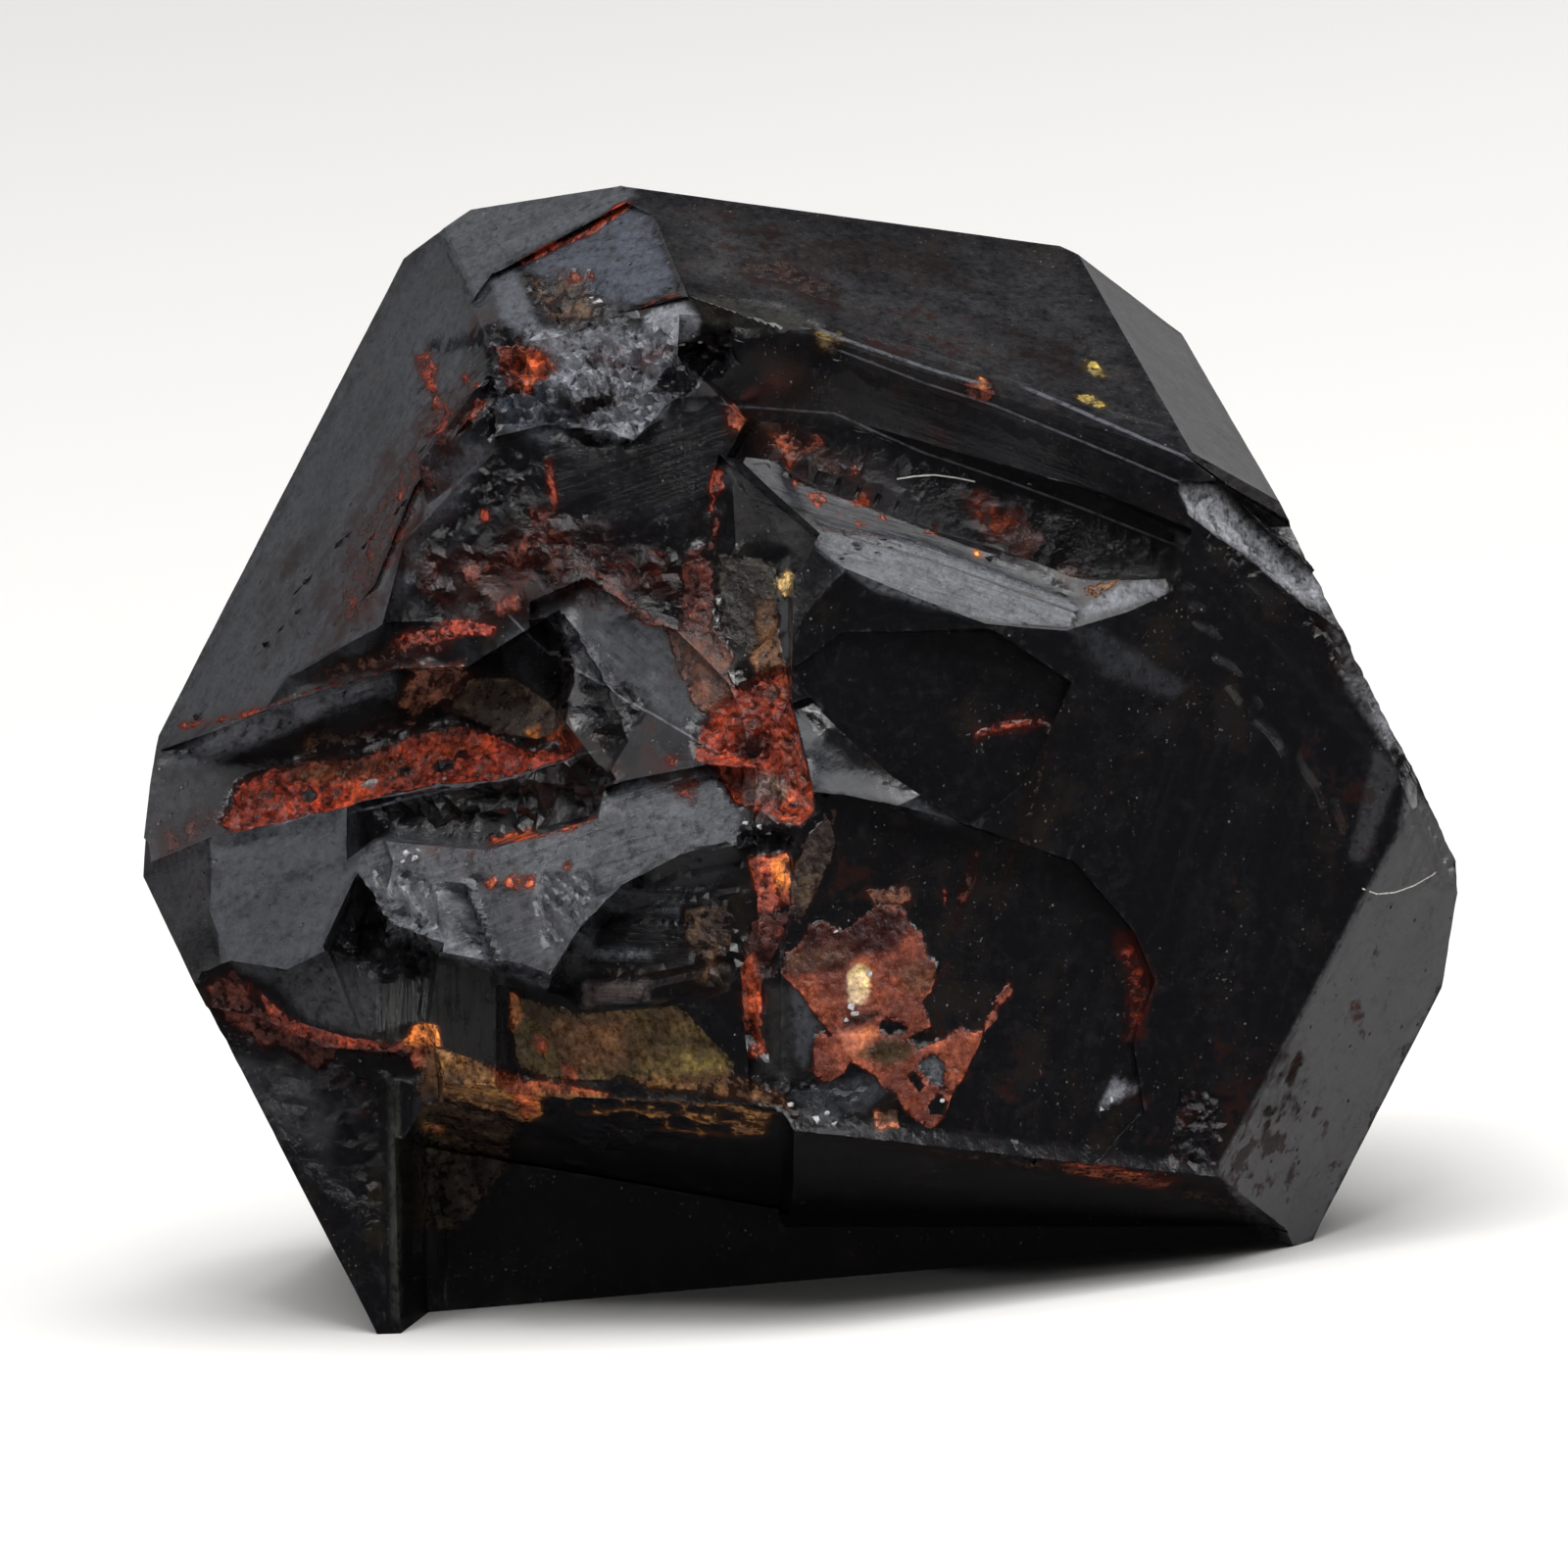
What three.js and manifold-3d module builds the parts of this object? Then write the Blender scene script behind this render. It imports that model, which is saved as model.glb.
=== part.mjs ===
// Melanite garnet crystal: a dodecahedron with bevelled edges, broken open at the front and underneath.
// Millimetres. Up is +Z, the broken side faces -Y, and the origin is under the middle of the crystal.
// Outlines are written as seen from the front, x to the right and z up, from the middle of the crystal.
// Heights are measured from the plane through that middle, towards the viewer.

import * as THREE from "three";
import { mergeVertices } from "three/addons/utils/BufferGeometryUtils.js";
import Module from "manifold-3d";

const wasm = await Module();
wasm.setup();

// How the crystal sits
const CRYSTAL_TURN = THREE.MathUtils.degToRad(27.5);
const SET_DOWN_TURN = THREE.MathUtils.degToRad(4.85);
const LEAN_BACK = THREE.MathUtils.degToRad(7);
const LEFT_FOOT = new THREE.Vector3(-3.18, 0, -3.49);

// Sizes of the cutting tools
const CUT_BLOCK = 30;
const FRONT = 5;
const WALL_OPENING = 0.16;
const SCOOP_DETAIL = 16;

// Faces of the dodecahedron: direction on the cube axes, distance from the middle
const MAIN_FACES = [
  [[1, 1, 0], 4.41],
  [[1, -1, 0], 4.46],
  [[-1, 1, 0], 4.41],
  [[1, 0, 1], 4.22],
  [[0, 1, 1], 3.67],
  [[1, 0, -1], 3.94],
  [[0, 1, -1], 3.85],
  [[0, -1, 1], 4.31],
  [[-1, 0, 1], 4.57],
  [[0, -1, -1], 4.36],
  [[-1, 0, -1], 4.44],
  [[-1, -1, 0], 4.37],
];

// Bevels along its edges
const BEVELS = [
  [[1, 1, 2], 4.17],
  [[2, -1, 1], 4.77],
  [[2, -1, -1], 4.79],
  [[-1, 2, 1], 4.6],
  [[-1, 2, -1], 4.82],
  [[1, -2, 1], 4.77],
  [[1, -2, -1], 4.79],
  [[-1, -1, 2], 5.29],
  [[-2, 1, 1], 4.85],
  [[-2, 1, -1], 4.82],
  [[-1, -2, 1], 4.84],
  [[-2, -1, 1], 4.9],
  [[-1, -2, -1], 4.78],
  [[-2, -1, -1], 4.82],
  [[-1, -1, -2], 4.82],
];

// The top left corner, worn round in small facets: direction right, back and up, distance from the middle
const WORN_CORNER = [
  [[-0.575, 0, 0.818], 5.49],
  [[-0.29, 0, 0.957], 5.53],
];

// The break that blunts the whole front: its height at the middle, its slope to the right and upward
const BLUNT_FRONT = [3.3, 0.5, -0.25];

// Breaks in the front: floor height at the middle, its slope to the right and upward, outline
const CHIPS = {
  rightFace: {
    floor: [3.14, -0.46, 0.22],
    outline: [
      [-3.5, -5], [6.59, -5], [6.59, 3.29], [3, 3.29], [2.81, 2.85], [2.22, 2.11], [-3.5, 2.4],
    ],
  },
  lobedFace: {
    floor: [2.9, -0.43, 0.15],
    outline: [
      [-0.11, -3.81], [-0.11, 0.58], [0.41, 0.52], [1.12, 0.34], [1.41, 0.26], [2.07, 0.03],
      [2.52, -0.48], [2.68, -0.85], [2.52, -1.3], [2.61, -1.82], [2.18, -2.26], [1.78, -3.81],
    ],
  },
  hollowFloor: {
    floor: [2.75, -0.2, 0.02],
    outline: [
      [0.01, 1.48], [0.16, 1.2], [0.41, 0.97], [0.73, 0.7], [1.3, 0.34], [1.7, 0.63], [2.03, 1.37],
      [1.41, 1.74], [0.37, 1.74],
    ],
  },
  crescent: {
    floor: [3.34, -0.1, -0.5],
    outline: [
      [-0.03, 1.2], [0.1, 0.77], [0.41, 0.52], [1.14, 0.34], [1.35, 0.24], [0.7, 0.74],
      [0.38, 1.01], [0.13, 1.25],
    ],
  },
  rightStrip: {
    floor: [5.62, -0.85, -0.3],
    outline: [
      [2.83, 2.85], [3.17, 2.86], [3.46, 2.56], [3.91, 2.18], [4.11, 1.77], [3.77, 1.99],
      [3.32, 2.36], [2.93, 2.62],
    ],
  },
  rightBand: {
    floor: [5.66, -0.97, -0.18],
    outline: [
      [2.87, 3.08], [3.26, 2.8], [3.76, 2.51], [5.11, 1.81], [5.85, 0.63], [4.88, -0.11],
      [4.55, 0.63], [4.25, 1.37], [4.13, 1.75], [3.92, 2.18], [3.48, 2.56], [3.17, 2.85],
    ],
  },
  ridge: {
    floor: [4.02, 0.12, -0.58],
    outline: [
      [0.28, 4], [1.48, 3.63], [2.22, 3.36], [2.9, 3.11], [2.97, 2.92], [2.15, 3.13], [1.41, 3.38],
      [0.41, 3.7],
    ],
  },
  topStep: {
    floor: [-0.06, 0.47, 0.4],
    outline: [
      [-0.89, 4.33], [0.37, 4.1], [3.11, 3.36], [3, 2.92], [2.89, 2.51], [2.22, 2.73], [0.44, 3.27],
      [-0.3, 3.35], [-0.81, 3.84],
    ],
  },
  slot: {
    floor: [1.45, 0.12, 0],
    outline: [
      [-0.44, 3.05], [-0.26, 3.36], [-0.07, 3.38], [0.44, 3.33], [2.22, 2.79], [2.83, 2.53],
      [2.69, 2.19], [2.23, 2.19], [2.04, 2.2], [1.11, 2.55], [0.44, 2.81], [-0.07, 3.01],
    ],
  },
  brightLedge: {
    floor: [4.15, -0.2, -0.65],
    outline: [
      [-0.81, 3.07], [-0.3, 3.29], [-0.07, 3.07], [0.44, 2.85], [1.11, 2.59], [2.04, 2.18],
      [2.74, 2.18], [2.8, 2.06], [2.31, 1.82], [2.04, 1.76], [1.41, 1.82], [0.81, 2.05],
      [0.37, 2.24], [0.13, 2.42], [-0.15, 2.4], [-0.81, 2.4],
    ],
  },
  upperHollow: {
    floor: [1.89, 0.37, 0],
    outline: [
      [-2.74, 2.85], [-2.92, 2.44], [-3.05, 1.77], [-2.52, 1.25], [-1.85, 1.92], [-0.89, 1.81],
      [-0.46, 2.4], [-0.46, 2.99], [-0.21, 3.4], [-0.5, 3.88], [-1.17, 3.2], [-1.85, 3.3],
      [-2.29, 3.2],
    ],
  },
  crackStep: {
    floor: [6.7, 0.6, -1.18],
    outline: [
      [-2.47, 4.19], [-2.27, 4.47], [-2.07, 4.57], [-1.27, 5], [-1.05, 4.9], [-0.77, 4.21],
      [-1.26, 3.99], [-1.85, 3.99], [-2.23, 3.94],
    ],
  },
  crust: {
    floor: [4.02, 0.4, -0.6],
    outline: [
      [-2.26, 4.41], [-1.63, 4.1], [-1.26, 4.16], [-0.81, 4.27], [-0.48, 3.87], [-0.48, 3.59],
      [-1.18, 3.03], [-2, 2.99], [-2.35, 3.07], [-2.33, 3.73],
    ],
  },
  crustGap: {
    floor: [2, 0.5, 0],
    outline: [
      [-2.44, 4.28], [-2.23, 4.41], [-2.29, 3.73], [-2.25, 3.14], [-2.74, 2.77], [-2.89, 3.29],
      [-2.66, 3.62],
    ],
  },
  leftStrip: {
    floor: [5.2, 1, -0.6],
    outline: [
      [-2.44, 3.36], [-2.22, 3.14], [-2.59, 2.4], [-2.81, 1.81], [-3.44, 1.33], [-3.89, 1.28],
      [-3.15, 2.11], [-2.85, 2.85],
    ],
  },
  centreWall: {
    floor: [2.81, 0.5, -0.3],
    outline: [
      [-1.11, 2.18], [-0.67, 2.55], [-0.56, 3.07], [-0.15, 2.7], [0.15, 2.45], [-0.06, 2.11],
      [-0.06, 1.34], [-0.33, 0.81], [-0.89, 0.81], [-1.55, 1.37],
    ],
  },
  slateFace: {
    floor: [3, 0.5, -0.5],
    outline: [
      [-1.96, 1.97], [-1.55, 2.13], [-0.89, 1.75], [-0.5, 1.37], [-0.34, 0.88], [-0.52, 0.54],
      [-1.26, 0.4], [-1.85, 0.4], [-2, 1.07],
    ],
  },
  darkStripe: {
    floor: [2.85, 0.62, -0.4],
    outline: [
      [-1.96, 1.81], [-1.72, 1.87], [-1.47, 1.44], [-1.26, 0.96], [-1.48, 0.63], [-1.74, 0.63],
      [-1.88, 1.07],
    ],
  },
  cleft: {
    floor: [1.83, 0.45, -0.5],
    outline: [
      [-5.25, 0.63], [-4.88, 0.86], [-4.29, 1.03], [-3.7, 1.23], [-3.03, 1.42], [-2.52, 1.44],
      [-1.92, 1.81], [-1.81, 1.44], [-1.85, 1.07], [-1.57, 0.7], [-1.67, 0.63], [-2.07, 0.7],
      [-3.24, 0.52], [-4.29, 0.28], [-4.88, 0.03],
    ],
  },
  blackBand: {
    floor: [1.9, 0.5, 0.1],
    outline: [
      [-3.24, 0.57], [-2.07, 0.77], [-1.74, 0.81], [-1.51, 0.73], [-1.6, 0.39], [-2.29, 0.2],
      [-3.02, 0.26], [-3.2, 0.12],
    ],
  },
  upperLip: {
    floor: [2.57, 0.55, -0.1],
    outline: [
      [-5.25, 1.03], [-4.88, 1.12], [-3.7, 1.47], [-3.03, 1.84], [-2.44, 1.84], [-1.85, 1.92],
      [-1.85, 1.66], [-2.52, 1.22], [-3.7, 1.11], [-4.29, 0.88], [-5.11, 0.48],
    ],
  },
  greyLedge: {
    floor: [2.75, 0.4, -0.5],
    outline: [
      [-3.21, 0.14], [-3.24, 0.4], [-2.44, 0.55], [-1.63, 0.51], [-1.26, 0.64], [-0.67, 0.75],
      [-0.36, 0.71], [-0.31, 0.03], [-0.56, -0.34], [-0.81, -0.85], [-1.41, -1.15], [-2.29, -0.93],
      [-3.03, -0.74], [-3.29, -0.06],
    ],
  },
  ledgeStep: {
    floor: [2.62, 0.45, 0.1],
    outline: [
      [-0.31, 0.15], [-0.89, 0.05], [-1.26, -0.15], [-1.55, -0.48], [-1.76, -0.88], [-1.55, -1.02],
      [-1.11, -1.02], [-0.59, -0.9], [-0.3, -0.56],
    ],
  },
  shield: {
    floor: [3.3, 0.66, -0.4],
    outline: [
      [-4.43, 0.17], [-4.29, 0.37], [-3.24, 0.63], [-3.03, 0.03], [-3.18, -0.56], [-3.48, -0.85],
      [-3.85, -1], [-4.25, -0.85], [-4.43, -0.34],
    ],
  },
  leftEdge: {
    floor: [7.42, 1.6, -0.3],
    outline: [
      [-5.55, 0.77], [-4.88, 0.17], [-4.38, 0.26], [-4.4, -0.34], [-4.19, -0.78], [-4.33, -1],
      [-5.55, -1],
    ],
  },
  pit: {
    floor: [2.26, 0.5, -0.2],
    outline: [
      [-3.24, -0.15], [-3.02, -0.52], [-2.72, -0.62], [-2.78, -1.22], [-3.03, -1.34],
      [-3.24, -1.22], [-3.45, -0.62],
    ],
  },
  seam: {
    floor: [2.75, 0.5, 0],
    outline: [
      [-0.5, 1.11], [-0.15, 1.44], [-0.01, 1.2], [0.09, 0.79], [0.16, 0.4], [-0.03, -0.11],
      [-0.1, -0.85], [-0.09, -2.04], [-0.31, -2.04], [-0.37, -0.85], [-0.4, 0.03], [-0.48, 0.63],
    ],
  },
  greyBlock: {
    floor: [3.05, 0.5, -0.15],
    outline: [[-2.83, -0.67], [-2.15, -0.78], [-2.12, -1.15], [-2.13, -1.82], [-2.85, -1.82]],
  },
  mustardBlock: {
    floor: [3.3, 0.6, 0.3],
    outline: [
      [-2.18, -0.88], [-1.55, -0.97], [-1.11, -0.97], [-0.63, -0.71], [-0.27, -0.71],
      [-0.27, -2.04], [-2.18, -2.04],
    ],
  },
  lowFront: {
    floor: [3.52, 0.62, 0.25],
    outline: [
      [-3.03, -0.56], [-2, -0.74], [-1.26, -1], [-0.81, -0.56], [-0.44, -0.04], [-0.07, -0.11],
      [0.01, -2.33], [-2.89, -2.33], [-3.03, -1.3],
    ],
  },
  leftRim: {
    floor: [2.99, 0.5, 0.3],
    outline: [
      [-5.55, -0.85], [-4.4, -0.78], [-4.22, -0.71], [-3.8, -0.78], [-3.44, -0.6], [-3.03, -0.85],
      [-2.74, -1.22], [-2.74, -1.59], [-3.55, -1.67], [-4.14, -1.45], [-5.55, -1.45],
    ],
  },
  spike: {
    floor: [1.91, 0.35, 0.15],
    outline: [
      [-5.55, -1.09], [-4.4, -1.08], [-4, -1.17], [-3.55, -1.38], [-3.03, -1.42], [-2.78, -1.31],
      [-2.69, -1.59], [-2.69, -5.29], [-5.55, -5.29],
    ],
  },
  spikeEdge: {
    floor: [-1.2, -0.85, 0.12],
    outline: [[-3.03, -1.37], [-2.77, -1.3], [-2.66, -1.59], [-2.66, -5.29], [-3.06, -5.29]],
  },
  roofLeft: {
    floor: [9.86, 0.73, 4],
    outline: [
      [-2.77, -1.61], [-1.85, -1.65], [-0.44, -1.71], [-0.11, -1.83], [-0.11, -2.6], [-2.77, -2.12],
    ],
  },
  roofRight: {
    floor: [10.39, 0.02, 4],
    outline: [
      [-0.44, -1.71], [0.16, -1.96], [1.11, -2.08], [2, -2.19], [3.18, -2.32], [3.63, -2.74],
      [-0.44, -2.74],
    ],
  },
  undercut: {
    floor: [-0.59, 0, 0],
    outline: [
      [-2.77, -2.12], [-0.11, -2.6], [-0.07, -2.74], [3.6, -2.74], [3.71, -2.87], [3.85, -5.29],
      [-2.77, -5.29],
    ],
  },
};

// Rounded breaks: middle (right, up, height), half sizes, turn in the front view
const SCOOPS = {
  glossyHollow: { middle: [1, 1.28, 3.88], half: [2.05, 1.5, 1.2], turn: -18 },
};

function solidOf(geometry) {
  const plain = geometry.index ? geometry.toNonIndexed() : geometry.clone();
  plain.deleteAttribute("normal");
  plain.deleteAttribute("uv");
  const merged = mergeVertices(plain, 1e-5);
  return new wasm.Manifold(
    new wasm.Mesh({
      numProp: 3,
      vertProperties: merged.attributes.position.array,
      triVerts: new Uint32Array(merged.index.array),
    }),
  );
}

function geometryOf(solid) {
  const mesh = solid.getMesh();
  return new THREE.BufferGeometry()
    .setAttribute("position", new THREE.BufferAttribute(mesh.vertProperties, 3))
    .setIndex(new THREE.BufferAttribute(mesh.triVerts, 1));
}

// Direction of a crystal face in the front view, from its direction on the cube axes
function faceDirection([h, k, l]) {
  const toViewer = (h + k) / Math.SQRT2;
  const across = (h - k) / Math.SQRT2;
  const right = across * Math.cos(CRYSTAL_TURN) - l * Math.sin(CRYSTAL_TURN);
  const up = across * Math.sin(CRYSTAL_TURN) + l * Math.cos(CRYSTAL_TURN);
  return new THREE.Vector3(right, -toViewer, up).normalize();
}

// A large block that covers everything beyond a plane
function beyond(direction, distance) {
  const block = new THREE.BoxGeometry(CUT_BLOCK, CUT_BLOCK, CUT_BLOCK);
  const turn = new THREE.Quaternion().setFromUnitVectors(new THREE.Vector3(0, 0, 1), direction);
  block.applyQuaternion(turn);
  block.translate(...direction.clone().multiplyScalar(distance + CUT_BLOCK / 2));
  return solidOf(block);
}

// Direction and distance of a sloping plane given by its height at the middle and its slopes
function slopingPlane([height, toRight, upward]) {
  const direction = new THREE.Vector3(-toRight, -1, -upward);
  const distance = height / direction.length();
  return [direction.normalize(), distance];
}

function crystalForm() {
  let form = solidOf(new THREE.BoxGeometry(CUT_BLOCK, CUT_BLOCK, CUT_BLOCK));
  for (const [direction, distance] of [...MAIN_FACES, ...BEVELS])
    form = form.subtract(beyond(faceDirection(direction), distance));
  for (const [direction, distance] of WORN_CORNER)
    form = form.subtract(beyond(new THREE.Vector3(...direction).normalize(), distance));
  return form;
}

// Everything ahead of a sloping floor inside an outline, with walls that open towards the viewer
function chipCutter({ floor: [height, toRight, upward], outline }) {
  const count = outline.length;
  const points = outline.map(([x, z]) => new THREE.Vector2(x, z));
  if (THREE.ShapeUtils.isClockWise(points)) points.reverse();
  const middle = points.reduce((sum, p) => sum.add(p), new THREE.Vector2()).divideScalar(count);
  const reach = points.reduce((sum, p) => sum + p.distanceTo(middle), 0) / count;
  const position = [];
  for (const { x, y: z } of points) position.push(x, -(height + toRight * x + upward * z), z);
  for (const point of points) {
    const rise = FRONT - (height + toRight * point.x + upward * point.y);
    const mouth = point.clone().sub(middle).multiplyScalar(1 + (WALL_OPENING * rise) / reach).add(middle);
    position.push(mouth.x, -FRONT, mouth.y);
  }
  const index = [];
  for (const [a, b, c] of THREE.ShapeUtils.triangulateShape(points, []))
    index.push(c, b, a, a + count, b + count, c + count);
  for (let i = 0; i < count; i++) {
    const next = (i + 1) % count;
    index.push(i, next, next + count, i, next + count, i + count);
  }
  return solidOf(
    new THREE.BufferGeometry()
      .setAttribute("position", new THREE.Float32BufferAttribute(position, 3))
      .setIndex(index),
  );
}

function scoopCutter({ middle: [right, up, height], half: [a, b, c], turn }) {
  const ball = new THREE.IcosahedronGeometry(1, SCOOP_DETAIL);
  ball.scale(a, c, b);
  ball.rotateY(-THREE.MathUtils.degToRad(turn));
  ball.translate(right, -height, up);
  return solidOf(ball);
}

// Stands the crystal on its two lowest corners, leaning back a little
function standUp(geometry) {
  geometry.translate(-LEFT_FOOT.x, -LEFT_FOOT.y, -LEFT_FOOT.z);
  geometry.rotateY(SET_DOWN_TURN);
  geometry.rotateX(-LEAN_BACK);
  return geometry;
}

let body = crystalForm().subtract(beyond(...slopingPlane(BLUNT_FRONT)));
for (const chip of Object.values(CHIPS)) body = body.subtract(chipCutter(chip));
for (const scoop of Object.values(SCOOPS)) body = body.subtract(scoopCutter(scoop));
body = solidOf(standUp(geometryOf(body)));
body = body.subtract(beyond(new THREE.Vector3(0, 0, -1), 0));

const geometry = geometryOf(body);
geometry.computeBoundingBox();
const { min, max } = geometry.boundingBox;
geometry.translate(-(min.x + max.x) / 2, -(min.y + max.y) / 2, -min.z);

const crystal = new THREE.Mesh(
  geometry,
  new THREE.MeshStandardMaterial({ color: 0x1c1b1e, roughness: 0.3, metalness: 0 }),
);
crystal.name = "crystal";

const part = new THREE.Group();
part.add(crystal);
export default part;
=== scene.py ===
import itertools
import math

import bmesh
import bpy
import numpy as np
from mathutils import Matrix, Vector
from mathutils.kdtree import KDTree


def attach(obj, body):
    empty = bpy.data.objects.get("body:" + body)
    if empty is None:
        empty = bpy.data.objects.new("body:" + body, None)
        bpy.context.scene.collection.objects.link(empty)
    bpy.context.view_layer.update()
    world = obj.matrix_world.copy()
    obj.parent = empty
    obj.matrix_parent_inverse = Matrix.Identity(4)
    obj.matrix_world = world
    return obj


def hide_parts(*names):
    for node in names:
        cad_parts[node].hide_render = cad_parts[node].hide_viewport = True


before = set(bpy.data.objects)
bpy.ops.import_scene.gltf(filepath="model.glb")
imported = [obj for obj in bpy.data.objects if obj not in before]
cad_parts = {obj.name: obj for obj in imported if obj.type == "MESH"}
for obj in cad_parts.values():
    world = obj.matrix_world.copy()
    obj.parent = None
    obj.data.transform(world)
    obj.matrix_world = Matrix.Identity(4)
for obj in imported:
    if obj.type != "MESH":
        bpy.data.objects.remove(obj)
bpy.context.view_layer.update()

MM = 0.001

# How the crystal stands: leaning back, and turned a little in the front view
LEAN_BACK = math.radians(7)
SET_DOWN_TURN = math.radians(4.85)
MIDDLE = Vector((-0.0353, -0.8527, 3.1847)) * MM
TURN_COS, TURN_SIN = math.cos(SET_DOWN_TURN), math.sin(SET_DOWN_TURN)
RIGHT = Vector((TURN_COS, -TURN_SIN * math.sin(LEAN_BACK), -TURN_SIN * math.cos(LEAN_BACK)))
UPWARD = Vector((TURN_SIN, TURN_COS * math.sin(LEAN_BACK), TURN_COS * math.cos(LEAN_BACK)))
AHEAD = RIGHT.cross(UPWARD)

# The camera: what it looks at, right and up from the middle, and how wide it sees
LOOKS_AT = (-0.074 * MM, 0.625 * MM)
VIEW_WIDTH = 11.84 * MM
LENS = 400
SENSOR = 36

# The mesh. Longest triangle edges, in millimetres: in the finest breakage, at the border of a
# stain, on the plain faces of the front and on the growth faces behind
FINE_EDGE = 0.042
STAIN_EDGE = 0.055
PLAIN_EDGE = 0.11
BACK_EDGE = 0.32
# An edge is split once it is this many times too long
TOO_LONG = 1.35
# A break's triangles have edges of this share of the size of its grains
GRAIN_SHARE = 0.42
# A border softer than this, in millimetres, shows well enough on the plain mesh
CRISP_BORDER = 0.06
# A face belongs to the front where it faces the camera more than this, from 0 to 1
FACING_AHEAD = 0.03
# Flat faces are joined up below the first angle, and an edge shows wear and painted glints above the
# second. Below the third, shading is smooth: the bevels lie 30 degrees apart and stay crisp
SAME_PLANE = math.radians(0.4)
WEAR_AND_GLINT_EDGE = math.radians(22)
SMOOTH_BELOW = math.radians(27)
# The kinds of relief that leave sharp fresh breaks
BROKEN = ("chips", "knobs", "crumple")
# The way of the growth lines on the faces behind, in degrees
BACK_LINES = 27.5
# Further than any distance on the crystal, in millimetres
FAR = 99.0
# How strongly this garnet bends light
REFRACTION = 1.88

# Colours of the bare garnet, of its etched faces and of the stains
BLACK = (0.004, 0.004, 0.005)
BROWN_BLACK = (0.012, 0.009, 0.007)
DUST = (0.24, 0.24, 0.25)
SOOT = (0.009, 0.009, 0.012)
DARK_GREY = (0.012, 0.012, 0.014)
SCUFF_AND_GLINT = (0.09, 0.09, 0.1)
HAZE = (0.055, 0.053, 0.055)
SLATE = (0.05, 0.053, 0.063)
SLATE_BLUE = (0.085, 0.095, 0.11)
STEEL = (0.066, 0.076, 0.1)
STEEL_PALE = (0.16, 0.17, 0.195)
PALE = (0.3, 0.31, 0.35)
GLEAM = (0.5, 0.51, 0.56)
WARM_GREY = (0.1, 0.092, 0.088)
WARM_BROWN = (0.06, 0.038, 0.032)
EVEN_GREY = (0.1, 0.098, 0.103)
CHARCOAL = (0.035, 0.035, 0.041)
GREY = (0.05, 0.05, 0.058)
OLIVE_GREY = (0.045, 0.045, 0.036)
SMOKE = (0.17, 0.165, 0.17)
UMBER = (0.022, 0.02, 0.019)
PINK_GREY = (0.12, 0.085, 0.08)
DEEP_RED = (0.022, 0.005, 0.003)
RUST = (0.15, 0.016, 0.005)
RUST_DARK = (0.055, 0.008, 0.004)
RUST_DEEP = (0.03, 0.004, 0.002)
RUST_BRIGHT = (0.34, 0.042, 0.02)
RUST_ORANGE = (0.25, 0.035, 0.012)
ORANGE_RED = (0.24, 0.036, 0.01)
ORANGE = (0.38, 0.11, 0.025)
ORANGE_BRIGHT = (0.6, 0.17, 0.03)
PINK_RUST = (0.2, 0.075, 0.055)
BROWN = (0.03, 0.016, 0.011)
BROWN_RED = (0.05, 0.016, 0.01)
BROWN_ORANGE = (0.09, 0.036, 0.013)
MUSTARD = (0.2, 0.14, 0.035)
MUSTARD_DARK = (0.046, 0.025, 0.007)
MUSTARD_DEEP = (0.045, 0.028, 0.01)
TAN = (0.13, 0.055, 0.018)
TAN_RED = (0.1, 0.03, 0.014)
FILM = (0.155, 0.028, 0.012)
FILM_DARK = (0.03, 0.003, 0.002)
FILM_PALE = (0.5, 0.14, 0.07)
GOLD = (0.75, 0.5, 0.2)
GOLD_PALE = (0.75, 0.55, 0.33)
OLIVE_STAIN = (0.06, 0.055, 0.028)


def gaps(name, soft, outlines):
    """Bare gaps in the stains, named with a letter each."""
    return {f"{name}_{k}": (BLACK, 0, soft, ring) for k, ring in zip("abcdefghijkl", outlines)}
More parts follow.
